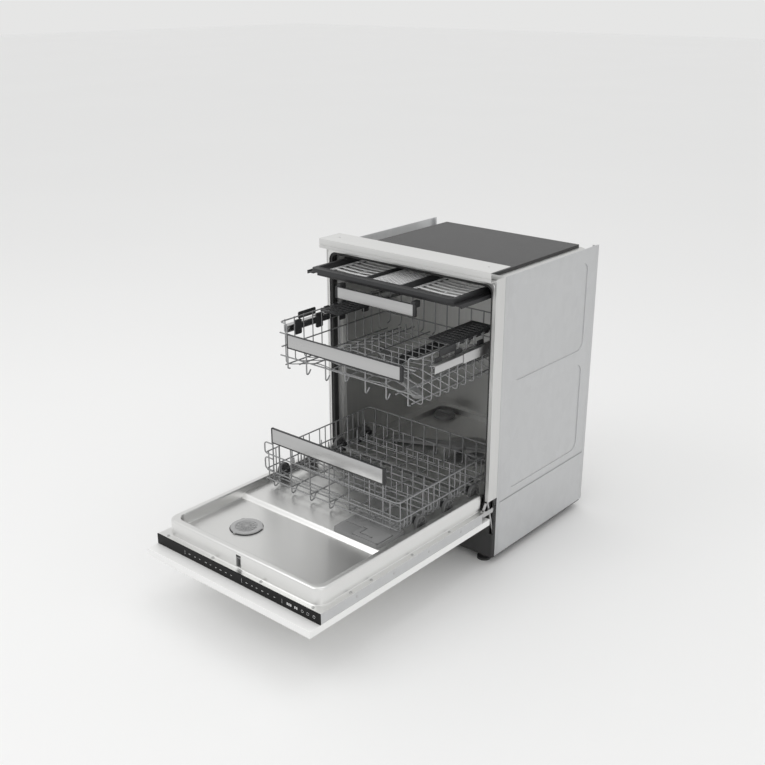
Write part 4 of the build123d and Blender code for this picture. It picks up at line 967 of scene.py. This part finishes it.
def bar_handle(node, name, body):
    """A brushed face let into a dark carrier with dark end caps."""
    low, high = corners(node)
    carrier = rounded(block((low.x, low.y + 0.4, low.z), (high.x, high.y, high.z)), "Z", 2.0, 4)
    soften(carrier, 0.5, 2, 50)
    cap = pad(
        (high.x - 7.0, low.y + 0.2, low.z - 0.6), (high.x + 1.2, high.y + 0.4, high.z + 0.6),
        1.6, 4,
    )
    hand_over(
        joined([carrier, mirrored(cap)]), f"{name}_carrier", "dark_plastic", body, (node,),
    )
    face = pad((low.x + 5.0, low.y, low.z + 4.2), (high.x - 6.6, low.y + 2.0, high.z - 1.2), 0.5)
    hand_over(face, f"{name}_face", "satin_bar", body, (node,))


class DISHWASHER_OT_handle_bars(bpy.types.Operator):
    """Makes the bar handles of the two racks and the cutlery tray"""

    bl_idname = "dishwasher.handle_bars"
    bl_label = "Handle bars"

    def execute(self, context):
        bar_handle("lower_handle", "lower_bar", "lower_rack")
        bar_handle("upper_handle", "upper_bar", "upper_rack")
        self.tray_bar()
        return {"FINISHED"}

    def tray_bar(self):
        """Slim pale bar hung from the tray on two dark hooks."""
        low, high = corners("tray_handle")
        near, bottom = low.y, low.z
        top, tray = 778.0, 785.7  # upper edge of the bar, underside of the tray
        face = pad((low.x + 5, near, bottom + 1), (high.x - 5, near + 2.0, top - 1), 0.5)
        hand_over(face, "tray_bar_face", "satin_bar", "cutlery_tray", ("tray_handle",))
        back = pad((low.x, near + 0.8, bottom), (high.x, near + 8.0, top), 1.2)
        hooks = []
        for x in (-130.0, 130.0):
            hooks.append(pad((x - 5, near + 6, bottom + 6), (x + 5, near + 13, tray), 1.5))
            hooks.append(pad((x - 6.5, near + 2.5, top - 10), (x + 6.5, near + 26, tray), 1.5))
        for x in (low.x - 1.0, high.x - 8.0):
            hooks.append(pad((x, near - 0.5, bottom - 1), (x + 9.0, near + 8.6, top + 1), 1.6))
        hand_over(
            joined([back, *hooks]), "tray_bar_carrier", "dark_plastic", "cutlery_tray",
            ("tray_handle",),
        )


# Racks


def wheel(x, y, z, radius, width):
    """A moulded wheel: rounded tyre, sunk web with five spokes, raised hub."""
    tyre = disc((x, y, z), radius, width, "X", 48)
    for sign in (1, -1):
        pick_faces(tyre, lambda c, n: n.x * sign > 0.9)
        inset(4.2)
        pull(x=-sign * width * 0.41)
        shut()
    soften(tyre, 1.3)
    hub = soften(disc((x, y, z), 6.2, width * 0.98, "X", 32), 0.9)
    spoke = block((x - width * 0.4, y - 1.5, z + 3), (x + width * 0.4, y + 1.5, z + radius - 3))
    soften(spoke, 0.6, 2)
    spokes = [turned(copied(spoke), 72 * turn, (x, y, z), "X") for turn in range(1, 5)]
    return joined([tyre, hub, spoke, *spokes])


class DISHWASHER_OT_lower_rack(bpy.types.Operator):
    """Bends the wires of the lower rack and fits its carriers and clips"""

    bl_idname = "dishwasher.lower_rack"
    bl_label = "Lower rack"

    # places behind the rack's front
    standing = (100.0, 170.0)
    folding = (284.0, 360.0)
    stations = (75.0, 194.0, 313.0, 432.0)
    axle = 233.6  # height of the wheels' pins

    def execute(self, context):
        wire, tine, bend = sizes()
        front = corners("lower_rack_walls")[0].y + 5.0
        back = front + RACK_DEPTH
        pieces = self.floor(front, back, wire, bend)
        pieces += self.walls(front, back, wire, tine, bend)
        for away in self.standing:
            pieces += self.row(front + away, 241.6, tine)
        hand_over(
            joined(pieces), "lower_rack_wires", "rack_nylon", "lower_rack",
            ("lower_rack_floor", "lower_rack_walls"),
        )
        hand_over(
            self.fittings(front), "lower_rack_fittings", "dark_plastic", "lower_rack",
        )
        for away, name in zip(self.folding, ("lower_tines_middle", "lower_tines_rear")):
            row = self.row(front + away, corners(name)[0].z + tine / 2, tine)
            fold = name.replace("tines", "fold_row")
            hand_over(joined(row), fold, "rack_nylon", name, (name,))
        return {"FINISHED"}

    def floor(self, front, back, wire, bend):
        """Wires across, their ends turned up to the lower rail, and wires along."""
        across = [24, 54, 106, 136, 164, 224, 254, 340, 384, 414]
        places = [(0, front + away, 0) for away in across]
        points = [(-241, 0, 262), (-241, 0, 236), (241, 0, 236), (241, 0, 262)]
        pieces = [rods(points, wire, bend, places)]
        spots = [(x, 0, 0) for x in (-232, -212, -144, -72, 0, 72, 144, 212, 232)]
        points = [(0, front + 1, 239), (0, back - 4, 239)]
        return pieces + [rods(points, wire, 0, spots)]

    def walls(self, front, back, wire, tine, bend):
        """Rings, side uprights, back uprights and the raised front."""
        pieces = []
        for z in (265, 316):
            ring = [
                (0, front - 3, z), (-244, front - 3, z), (-244, back, z), (244, back, z),
                (244, front - 3, z), (1, front - 3, z),
            ]
            pieces.append(tube(ring, wire, 13))
        away = (8, 36, 50, 100, 124, 148, 172, 216, 240, 264, 288, 340, 364, 388, 410)
        points = [(-241, 0, 318), (-241, 0, 231), (-227, 0, 231), (-222, 0, 237)]
        side = rods(points, tine, 8, [(0, front + y, 0) for y in away])
        pieces.append(mirrored(side))
        xs = [-216 + 48 * i for i in range(10)]
        points = [(0, back - 3, 317), (0, back - 3, 236), (0, back - 18, 236)]
        pieces.append(rods(points, wire, bend, [(x, 0, 0) for x in xs]))
        pieces.append(tube([(-240, front - 3, 239), (240, front - 3, 239)], wire))
        raised = [(x, front, z) for x, z in ((-190, 240), (-190, 396), (190, 396), (190, 240))]
        pieces.append(tube(raised, wire, 15))
        deep = [
            (0, front, 395), (0, front, 219), (0, front + 13, 219), (0, front + 22, 237),
            (0, front + 40, 237),
        ]
        pieces.append(rods(deep, wire, 6, [(x, 0, 0) for x in (-144, -72, 0)]))
        shallow = [(0, front, 395), (0, front, 231), (0, front + 14, 231), (0, front + 26, 237)]
        pieces.append(rods(shallow, wire, 6, [(x, 0, 0) for x in (72, 144)]))
        deep[0] = (0, front, 317)
        shallow[0] = (0, front, 317)
        pieces.append(rods(deep, wire, 6, [(-214, 0, 0)]))
        pieces.append(rods(shallow, wire, 6, [(214, 0, 0)]))
        # rounded loops at the left end of the front wall
        for low, high in ((268, 304), (316, 350)):
            loop = [
                (-214, front - 3, low), (-244, front - 3, low), (-244, front - 3, high),
                (-214, front - 3, high),
            ]
            pieces.append(tube(loop, wire, 9))
        pieces.append(tube([(-214, front, 312), (-214, front, 352)], wire))
        return pieces

    def row(self, y, z, tine):
        """A foot wire across the rack with eleven upright tines."""
        foot = tube([(-215, y, z), (215, y, z)], tine)
        spots = [(38.0 * (i - 5), y, z) for i in range(11)]
        return [foot, rods([(0, 0, 0), (0, 0, 70)], tine, 0, spots, tip=True)]

    def fittings(self, front):
        """Axle carriers on both sides and the clips of the folding rows."""
        pieces = []
        for away in self.stations:
            y = front + away
            arm = block((229, y - 9, 226.6), (238, y + 9, 241))
            rounded(arm, "X", 6.0, 5, lambda end: end.z < 230)
            soften(arm, 0.8, 2, 50)
            pin = disc((248, y, self.axle), 3.0, 20.0, "X", 24)
            head = soften(disc((257.8, y, self.axle), 5.2, 1.2, "X", 24), 0.4, 2)
            pieces += [arm, pin, head, pad((228, y - 6, 238), (236, y + 6, 244), 1.5)]
        for away in self.folding:
            y = front + away
            base = block((207.5, y - 5, 238.0), (216.5, y + 5, 245.0))
            rounded(base, "X", 3.5, 5, lambda end: end.z > 243)
            hook = block((208.5, y - 6, 233.5), (215.5, y + 6, 239))
            pieces += [soften(base, 0.5, 2, 50), soften(hook, 1.0, 2)]
        return mirrored(joined(pieces))


class DISHWASHER_OT_rack_wheels(bpy.types.Operator):
    """Moulds the four pairs of wheels"""

    bl_idname = "dishwasher.rack_wheels"
    bl_label = "Rack wheels"

    def execute(self, context):
        for number in range(1, 5):
            node = f"lower_wheels_{number}"
            low, high = corners(node)
            _, y, z = (low + high) / 2
            piece = mirrored(wheel(high.x - 5.0, y, z, (high.z - low.z) / 2, 10.0))
            hand_over(piece, f"wheel_pair_{number}", "wheel_plastic", node, (node,))
        return {"FINISHED"}


class DISHWASHER_OT_upper_rack(bpy.types.Operator):
    """Bends the wires of the upper rack"""

    bl_idname = "dishwasher.upper_rack"
    bl_label = "Upper rack"

    def execute(self, context):
        wire, tine, bend = sizes()
        front = corners("upper_rack_walls")[0].y + 5.0
        back = front + RACK_DEPTH
        places = [(0, front + 22 + (401.0 / 11) * i, 0) for i in range(12)]
        half = [(-243, 0, 686), (-243, 0, 558), (-225, 0, 559), (-120, 0, 585), (-60, 0, 581)]
        points = half + [(-x, y, z) for x, y, z in reversed(half)]
        pieces = [rods(points, tine, bend, places)]
        for x, z in ((225, 562.7), (172, 575.3), (120, 587.7)):
            pieces.append(mirrored(tube([(x, front + 2, z), (x, back - 5, z)], wire)))
        pieces.append(tube([(0, front + 2, 581), (0, back - 5, 581)], wire))
        pieces += self.walls(front, back, wire)
        pieces += self.tines(front, back, wire, tine)
        hand_over(
            joined(pieces), "upper_rack_wires", "rack_nylon", "upper_rack",
            ("upper_rack_floor", "upper_rack_walls", "upper_tines"),
        )
        return {"FINISHED"}

    def walls(self, front, back, wire):
        """Rings round the rack, back uprights and the wires of the front."""
        near = front + 4
        low_ring = [(-240, near, 612), (-240, back, 612), (240, back, 612), (240, near, 612)]
        pieces = [tube(low_ring, wire, 13)]
        # top wire: down at both front corners, round the sides and the back
        top_ring = [
            (-214, front, 556), (-214, front, 684), (-240, front, 684), (-240, back, 684),
            (240, back, 684), (240, front, 684), (214, front, 684), (214, front, 556),
        ]
        pieces.append(tube(top_ring, wire, 10))
        pieces.append(mirrored(tube([(-214, front, 556), (-214, front + 8, 553)], wire)))
        xs = [-216 + 43.2 * i for i in range(11)]
        points = [(0, back - 3, 686), (0, back - 3, 588), (0, back - 16, 583)]
        pieces.append(rods(points, wire, 6, [(x, 0, 0) for x in xs]))
        for z in (590, 655):
            pieces.append(tube([(-238, front - 3, z), (238, front - 3, z)], wire))
        for xs, foot in (((-142, -71, 71, 142), 553), ((0,), 567)):
            points = [
                (0, front, 657), (0, front, foot), (0, front + 7, foot), (0, front + 16, foot + 12)
            ]
            pieces.append(rods(points, wire, 5, [(x, 0, 0) for x in xs]))
        return pieces

    def tines(self, front, back, wire, tine):
        """Two rows of short tines on their own foot wires."""
        pieces = []
        low, high = corners("upper_tines")
        foot = low.z + wire / 2
        for x in (-60, 60):
            pieces.append(tube([(x, front + 3, foot), (x, back - 6, foot)], wire))
        step = (RACK_DEPTH - 120.0) / 11
        spots = [(x, front + 60 + step * i, foot) for x in (-60, 60) for i in range(12)]
        pieces.append(rods([(0, 0, 0), (0, 0, high.z - foot)], tine, 0, spots, tip=True))
        return pieces


# Cutlery tray and dosing parts


class DISHWASHER_OT_cutlery_tray(bpy.types.Operator):
    """Moulds the cutlery tray: dark frame, bowed pale slats and the raised lattice"""

    bl_idname = "dishwasher.cutlery_tray"
    bl_label = "Cutlery tray"

    pocket_floor = 789.0
    lip = 24.0
    brim = 11.0  # height of the outer edge, below which the tray steps in

    def execute(self, context):
        low, high = corners("tray_frame")
        self.tongues(low, high)
        high.x, low.x = 247.0, -247.0
        self.frame(low, high)
        self.slats(low, high)
        self.lattice(low)
        return {"FINISHED"}

    def tongues(self, low, high):
        """Runner tongues down both sides of the tray."""
        near, far = low.y + 10, high.y - 10
        web = block((245, near, 791.0), (high.x - 3, far, 794.0))
        lip = block((high.x - 3.5, near, 787.6), (high.x, far, 797.4))
        soften(web, 0.4, 2)
        soften(lip, 0.8)
        hand_over(
            mirrored(joined([web, lip])), "tray_tongues", "dark_plastic", "cutlery_tray",
        )

    def frame(self, low, high):
        """The dark moulding: brim, stepped-in well, slat pockets and corner hump."""
        near, far = low.y + self.lip, high.y - 10.0
        body = rounded(block((low.x, low.y, high.z - self.brim), high), "Z", 14.0, 7)
        well = block((low.x + 5, low.y + 17, low.z), (high.x - 5, high.y - 4, high.z - 1))
        rounded(well, "Z", 8.0, 5)
        cut(body, well, operation="UNION")
        floor = self.pocket_floor
        for left, right in ((-237, -65), (-59, 59), (65, 237)):
            cut(body, block((left, near, floor), (right, far, high.z + 5)))
        for left, right in ((-231, -71), (71, 231)):
            cut(body, block((left, near + 6, low.z - 5), (right, far - 6, floor + 5)))
        # shallow groove along the front lip
        cut(body, block((-228, near - 8, high.z - 1.2), (228, near - 6.5, high.z + 3)))
        soften(body, 1.3, 3, 50)
        hump = block((-246, far - 24, 800), (-150, high.y - 1, 823))
        rounded(hump, "Y", 17.0, 8, lambda end: end.z > 810)
        soften(hump, 2.0, 3, 50)
        hand_over(
            joined([body, hump]), "tray_shell", "dark_plastic", "cutlery_tray",
            ("tray_frame",),
        )

    def slats(self, low, high):
        """Two pale frames with slats that sag towards their middle."""
        near, far = low.y + self.lip + 1, high.y - 11.0
        count = bpy.context.scene.dishwasher_sizes.slats
        pitch = (far - near) / count
        left, right = 67.0, 236.0
        middle = (left + right) / 2
        rim = block((left - 1, near, 789.3), (right, far, 794.6))
        cut(rim, block((left + 3, near + 4, 780), (right - 4, far - 4, 800)))
        soften(rim, 0.7, 2, 50)
        steps = [i / 8 for i in range(9)]
        bow = [
            (left + 1 + (right - left - 3) * t, near + pitch / 2, 793.2 - 3.2 * sin(pi * t))
            for t in steps
        ]
        crown = [(-4.6, -0.9), (-4.6, 0.3), (-3.6, 0.9), (3.6, 0.9), (4.6, 0.3), (4.6, -0.9)]
        slat = thicken(swept(bow, crown), 1.0, 1.0)
        repeat(slat, [(0, pitch, 0)] * (count - 1))
        spine = pad((middle - 2, near + 2, 789.4), (middle + 2, far - 2, 790.6), 0.4, 2)
        piece = mirrored(joined([rim, slat, spine]))
        hand_over(
            piece, "tray_slats", "pale_slats", "cutlery_tray", ("tray_inserts",)
        )

    def lattice(self, low):
        """Raised cross-hatched field between the dividers."""
        near = low.y + self.lip + 4
        far = near + 200.0
        rod = pad((-200, -1.1, 798.6), (200, 1.1, 801.2), 0.5, 2)
        repeat(rod, [(0, 11.5, 0)] * 36)
        other = copied(moved(rod, y=-200.0))
        turned(rod, 32, (0, 0, 0))
        turned(other, -32, (0, 0, 0))
        field = moved(joined([rod, other]), y=(near + far) / 2)
        for place, normal in (
            ((-55, 0, 0), (1, 0, 0)), ((55, 0, 0), (-1, 0, 0)),
            ((0, near + 1, 0), (0, 1, 0)), ((0, far - 1, 0), (0, -1, 0)),
        ):
            edit(field)
            bpy.ops.mesh.bisect(
                plane_co=Vector(place) * MM, plane_no=normal, clear_inner=True, use_fill=True
            )
            shut()
        rim = block((-58, near, 796), (58, far, 801.6))
        cut(rim, block((-55, near + 3, 790), (55, far - 3, 806)))
        soften(rim, 0.7, 2, 50)
        legs = []
        for x in (-50, 50):
            for y in (near + 8, far - 8):
                legs.append(soften(disc((x, y, 793), 3.0, 8.4, sides=20), 0.4, 2))
        hand_over(
            joined([rim, field, *legs]), "tray_lattice", "pale_slats", "cutlery_tray",
        )


class DISHWASHER_OT_dosing_parts(bpy.types.Operator):
    """Moulds the detergent lid and the rinse aid cap"""

    bl_idname = "dishwasher.dosing_parts"
    bl_label = "Detergent lid and rinse aid cap"

    def execute(self, context):
        low, high = corners("detergent_lid")
        lid = block((low.x, low.y + 2.2, low.z + 1.0), (high.x, high.y, high.z))
        rounded(lid, "Z", 7.0, 6)
        left, sunk, over = low.x, high.z - 3.4, high.z + 2
        cut(
            lid,
            block((left - 5, LATCH - 1.4, sunk), (left + 16, LATCH + 1.4, over)),
            block((left + 13.2, LATCH - 27, sunk), (left + 16, LATCH + 1.4, over)),
            block((left + 13.2, LATCH - 29.8, sunk), (left + 54, LATCH - 27, over)),
            disc((left + 54, LATCH - 28.4, high.z), 3.0, 6.8, sides=24),
        )
        soften(lid, 0.9, 3, 50)
        middle = (low.x + high.x) / 2
        barrel = disc((middle, low.y + 1.5, low.z + 1.5), 1.5, high.x - low.x - 12, "X", 24)
        soften(barrel, 0.3, 2)
        hand_over(
            joined([lid, barrel]), "dosing_lid", "grey_plastic", "detergent_lid",
            ("detergent_lid",),
        )
        low, high = corners("rinse_aid_cap")
        x, y, z = (low + high) / 2
        radius = (high.x - low.x) / 2
        cap = disc((x, y, z - 0.6), radius, high.z - low.z - 1.2, sides=48)
        pick_faces(cap, lambda c, n: n.z > 0.9)
        inset(radius * 0.2)
        pull(z=-0.8)
        shut()
        soften(cap, 0.6, 2)
        grip = block((x - radius * 0.72, y - 2.2, low.z + 1), (x + radius * 0.72, y + 2.2, high.z))
        rounded(grip, "Z", 2.0, 4)
        soften(grip, 0.6, 2, 50)
        hand_over(
            joined([cap, grip]), "rinse_cap", "grey_plastic", "rinse_aid_cap",
            ("rinse_aid_cap",),
        )
        return {"FINISHED"}


# Body and the upper rack's carriers


class DISHWASHER_OT_outer_sheets(bpy.types.Operator):
    """Presses the side sheets with their fields, folds and screws"""

    bl_idname = "dishwasher.outer_sheets"
    bl_label = "Side sheets"

    def execute(self, context):
        low, high = corners("side_panels")
        face = high.x
        base_top = 190.0
        lower = block((face - 1.3, low.y, low.z), (face - 0.2, high.y, base_top + 2))
        sheet = block((face - 4.2, low.y, base_top), (face - 0.2, high.y, high.z))
        split = 0.5 * (base_top + high.z)
        for bottom, top in ((base_top + 26, split - 22), (split + 22, high.z - 40)):
            pocket = block((face - 3.0, low.y + 55, bottom), (face + 3, high.y - 55, top))
            rounded(pocket, "X", 28.0, 8)
            cut(sheet, pocket)
        soften(sheet, 1.1, 3, 50)
        pieces = [lower, sheet]
        # folds along the front and the rear edge
        for y in (low.y, high.y - 14.0):
            fold = block((face - 14, y, low.z), (face - 0.6, y + 1.2, high.z))
            edge = block((face - 0.5, y, low.z), (face, y + 14.0, high.z))
            pieces += [soften(fold, 0.3, 2), soften(edge, 0.3, 2)]
        hand_over(
            mirrored(joined(pieces)), "side_sheets", "zinc_sheet", "root",
            ("side_panels",),
        )
        heads = [
            (face - 0.7, y, low.z + share * (high.z - low.z))
            for y in (low.y + 7, high.y - 7) for share in (0.04, 0.35, 0.66, 0.97)
        ]
        head = soften(disc(heads[0], 4.0, 1.2, "X", 20), 0.35, 2)
        repeat_at(head, heads)
        hand_over(mirrored(head), "side_screws", "bright_parts", "root")
        return {"FINISHED"}


class DISHWASHER_OT_mouth(bpy.types.Operator):
    """Folds the front frame, the door seal and the top rail"""

    bl_idname = "dishwasher.mouth"
    bl_label = "Mouth of the tub"

    def execute(self, context):
        self.front_frame()
        self.seal()
        self.rail()
        return {"FINISHED"}

    def front_frame(self):
        """A folded frame with one pressed line round the mouth."""
        low, high = corners("front_frame")
        near = low.y
        bends = (
            (0, high.y), (0, near + 0.8), (0.06, near), (0.40, near), (0.46, near + 1.3),
            (0.54, near + 1.3), (0.60, near), (0.94, near), (1, near + 0.8), (1, near + 3.6),
        )
        lines = [
            arch_line(high.x - 12.0 * t, high.z - 17.5 * t, low.z, 2 + 22 * t, y) for t, y in bends
        ]
        piece = lofted(lines)
        face_way(piece, (0, -1, 0))
        thicken(piece, 0.9)
        hand_over(piece, "mouth_frame", "tub_steel", "root", ("front_frame",))

    def seal(self):
        """A round rubber bulb on a flat foot."""
        low, high = corners("door_seal")
        half, top = high.x, high.z
        bulb = [(4 - 4 * cos(t), low.y + 4 + 4 * sin(t)) for t in (pi / 6 * i for i in range(13))]
        foot = [(0, high.y), (0, low.y + 5), (3, low.y + 5), (3, high.y), (0, high.y)]
        bulb, foot = [
            merge_doubles(lofted([
                arch_line(half - out, top - out, low.z, 24 - out, y) for out, y in section
            ]))
            for section in (bulb, foot)
        ]
        hand_over(
            joined([bulb, foot]), "seal_bulb", "seal_rubber", "root", ("door_seal",)
        )

    def rail(self):
        """The folded top rail with its pressed line and the two holes for the worktop screws."""
        low, high = corners("top_rail")
        near = low.y
        line = [
            (94, low.z), (near + 1.5, low.z), (near + 0.4, low.z + 0.4), (near, low.z + 1.5),
            (near, low.z + 8.6), (near + 1.0, low.z + 9.1), (near + 1.0, low.z + 10.1),
            (near, low.z + 10.6), (near, high.z - 1.6), (near + 0.5, high.z - 0.5),
            (near + 1.6, high.z), (high.y, high.z),
        ]
        piece = folded(line, -high.x, high.x)
        thicken(piece, 1.4)
        for x in (-260, 260):
            cut(piece, disc((x, near + 45, high.z), 3.0, 8, sides=24))
        hand_over(piece, "fascia_rail", "frame_paint", "root", ("top_rail",))


class DISHWASHER_OT_rack_carriers(bpy.types.Operator):
    """Fits the upper rack's steel rails, dark clips and levers"""

    bl_idname = "dishwasher.rack_carriers"
    bl_label = "Rack carriers"

    def execute(self, context):
        low, high = corners("upper_carriers")
        near, far = low.y + 34, high.y
        bottom, top, wall = 641.0, 661.0, 1.7
        rail = block((high.x - 17, near, bottom), (high.x, far, top))
        hollow = block((high.x - 20, near - 5, bottom + wall), (high.x - wall, far + 5, top - wall))
        cut(rail, hollow)
        soften(rail, 0.6, 2, 50)
        hand_over(
            mirrored(rail), "rack_rails", "bright_parts", "upper_rack",
            ("upper_carriers",),
        )
        clips = []
        front = low.y - 6
        for away in (64.0, 150.0, 246.0, 350.0):
            y = front + away
            clip = rounded(block((244.9, y, low.z + 4), (250.6, y + 26, high.z)), "X", 4.0, 5)
            clips.append(soften(clip, 0.8, 2, 50))
            nose = block((243.6, y + 5, low.z + 10), (246, y + 21, low.z + 16))
            clips.append(soften(nose, 0.8, 2))
        strip = block((246.0, front + 70, 645), (250.2, front + 372, 657))
        clips.append(soften(strip, 1.2))
        hand_over(
            mirrored(joined(clips)), "rack_clips", "dark_plastic", "upper_rack"
        )
        for name in ("height_lever_left", "height_lever_right"):
            low, high = corners(name)
            lever = rounded(block(low, high), "X", 4.0, 5)
            soften(lever, 0.6, 2, 50)
            ridges = [
                pad((low.x + 0.1, y, low.z + 6), (high.x - 0.1, y + 2.4, high.z - 0.4), 0.3, 1)
                for y in (low.y + 44 + 5 * i for i in range(4))
            ]
            hand_over(
                joined([lever, *ridges]), name.replace("height_lever", "lift_lever"),
                "dark_plastic", name, (name,),
            )
        return {"FINISHED"}


# Stage


class DISHWASHER_OT_stage(bpy.types.Operator):
    """Lays the floor, hangs the lamps and sets the camera at the photograph's viewpoint"""

    bl_idname = "dishwasher.stage"
    bl_label = "Stage"

    def execute(self, context):
        settings = context.scene.dishwasher_stage
        context.scene.view_settings.view_transform = "Standard"
        rest()
        bpy.ops.mesh.primitive_plane_add(size=60.0, location=(0, 0, 0))
        floor = context.object
        floor.name = "floor"
        sheet = Sheet("pale_floor")
        drift = sheet.cloud(0.6, detail=2.0)
        tone = sheet.mix(drift, (0.88, 0.88, 0.875), (0.90, 0.90, 0.895))
        floor.data.materials.append(sheet.close(tone, 0.6))
        self.sky(context, settings.sky)
        for name, place, aim, size, power in (
            ("key", (-1.6, -2.6, 3.6), (0, 0, 0.3), 2.6, settings.key),
            ("fill", (3.4, -2.4, 2.2), (0, 0, 0.4), 2.4, settings.key * 0.35),
            ("top", (0.2, 0.4, 3.8), (0, 0.1, 0.4), 2.4, settings.key * 0.45),
        ):
            bpy.ops.object.light_add(type="AREA", location=place)
            lamp = context.object
            lamp.name = name
            lamp.data.shape = "DISK"
            lamp.data.size = size
            lamp.data.energy = power
            self.aim(lamp, Vector(aim) - Vector(place))
        azimuth, elevation = 0.7057, 0.3624  # the photograph's viewpoint, in radians
        eye = (1.76498, -2.07578, 1.55348)
        bpy.ops.object.camera_add(location=eye)
        camera = context.object
        level = cos(elevation)
        self.aim(camera, Vector((-sin(azimuth) * level, cos(azimuth) * level, -sin(elevation))))
        camera.data.lens = settings.lens
        camera.data.sensor_width = 36.0
        context.scene.camera = camera
        return {"FINISHED"}

    def aim(self, thing, gaze):
        """Turns a lamp or the camera to look along a direction."""
        thing.rotation_euler = gaze.to_track_quat("-Z", "Y").to_euler()

    def sky(self, context, strength):
        """Soft even light; what the camera, metal and glass see of it is a plain near white."""
        world = bpy.data.worlds.new("studio")
        context.scene.world = world
        sheet = Sheet("studio", world)
        seen, reflected, passed = (
            sheet.add("LightPath", output=f"Is {kind} Ray")
            for kind in ("Camera", "Glossy", "Transmission")
        )
        shown = seen.larger(reflected).larger(passed)
        light = sheet.add("Background", None, {"Color": (1, 1, 1, 1), "Strength": strength})
        backdrop = {"Color": (0.79, 0.79, 0.785, 1), "Strength": 1.0}
        backdrop = sheet.add("Background", None, backdrop)
        both = sheet.add("MixShader", None, {0: shown, 1: light, 2: backdrop})
        sheet.add("OutputWorld", None, {"Surface": both})


# Panel and run


class DISHWASHER_PT_sidebar(bpy.types.Panel):
    """Lists the steps that build the machine's looks"""

    bl_idname = "DISHWASHER_PT_sidebar"
    bl_label = "Dishwasher"
    bl_space_type = "VIEW_3D"
    bl_region_type = "UI"
    bl_category = "Dishwasher"

    def draw(self, context):
        column = self.layout.column()
        for group in ("dishwasher_colours", "dishwasher_sizes", "dishwasher_stage"):
            settings = getattr(context.scene, group)
            for key in settings.bl_rna.properties.keys():
                if key not in ("rna_type", "name"):
                    column.prop(settings, key)
        for step in STEPS:
            column.operator(step.bl_idname)


STEPS = (
    DISHWASHER_OT_frame_finishes,
    DISHWASHER_OT_door_liner,
    DISHWASHER_OT_door_fittings,
    DISHWASHER_OT_handle_bars,
    DISHWASHER_OT_lower_rack,
    DISHWASHER_OT_rack_wheels,
    DISHWASHER_OT_upper_rack,
    DISHWASHER_OT_cutlery_tray,
    DISHWASHER_OT_dosing_parts,
    DISHWASHER_OT_outer_sheets,
    DISHWASHER_OT_mouth,
    DISHWASHER_OT_rack_carriers,
    DISHWASHER_OT_stage,
)
CLASSES = (DishwasherColours, DishwasherSizes, StageSettings, *STEPS, DISHWASHER_PT_sidebar)


def register():
    for each in CLASSES:
        bpy.utils.register_class(each)
    bpy.types.Scene.dishwasher_colours = PointerProperty(type=DishwasherColours)
    bpy.types.Scene.dishwasher_sizes = PointerProperty(type=DishwasherSizes)
    bpy.types.Scene.dishwasher_stage = PointerProperty(type=StageSettings)


def unregister():
    del bpy.types.Scene.dishwasher_stage
    del bpy.types.Scene.dishwasher_sizes
    del bpy.types.Scene.dishwasher_colours
    for each in reversed(CLASSES):
        bpy.utils.unregister_class(each)


def main():
    """Builds all the looks."""
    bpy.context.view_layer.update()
    register()
    for step in STEPS:
        group, name = step.bl_idname.split(".")
        if getattr(getattr(bpy.ops, group), name)() != {"FINISHED"}:
            raise RuntimeError(f"{step.bl_label} did not finish")


if __name__ == "__main__":
    main()
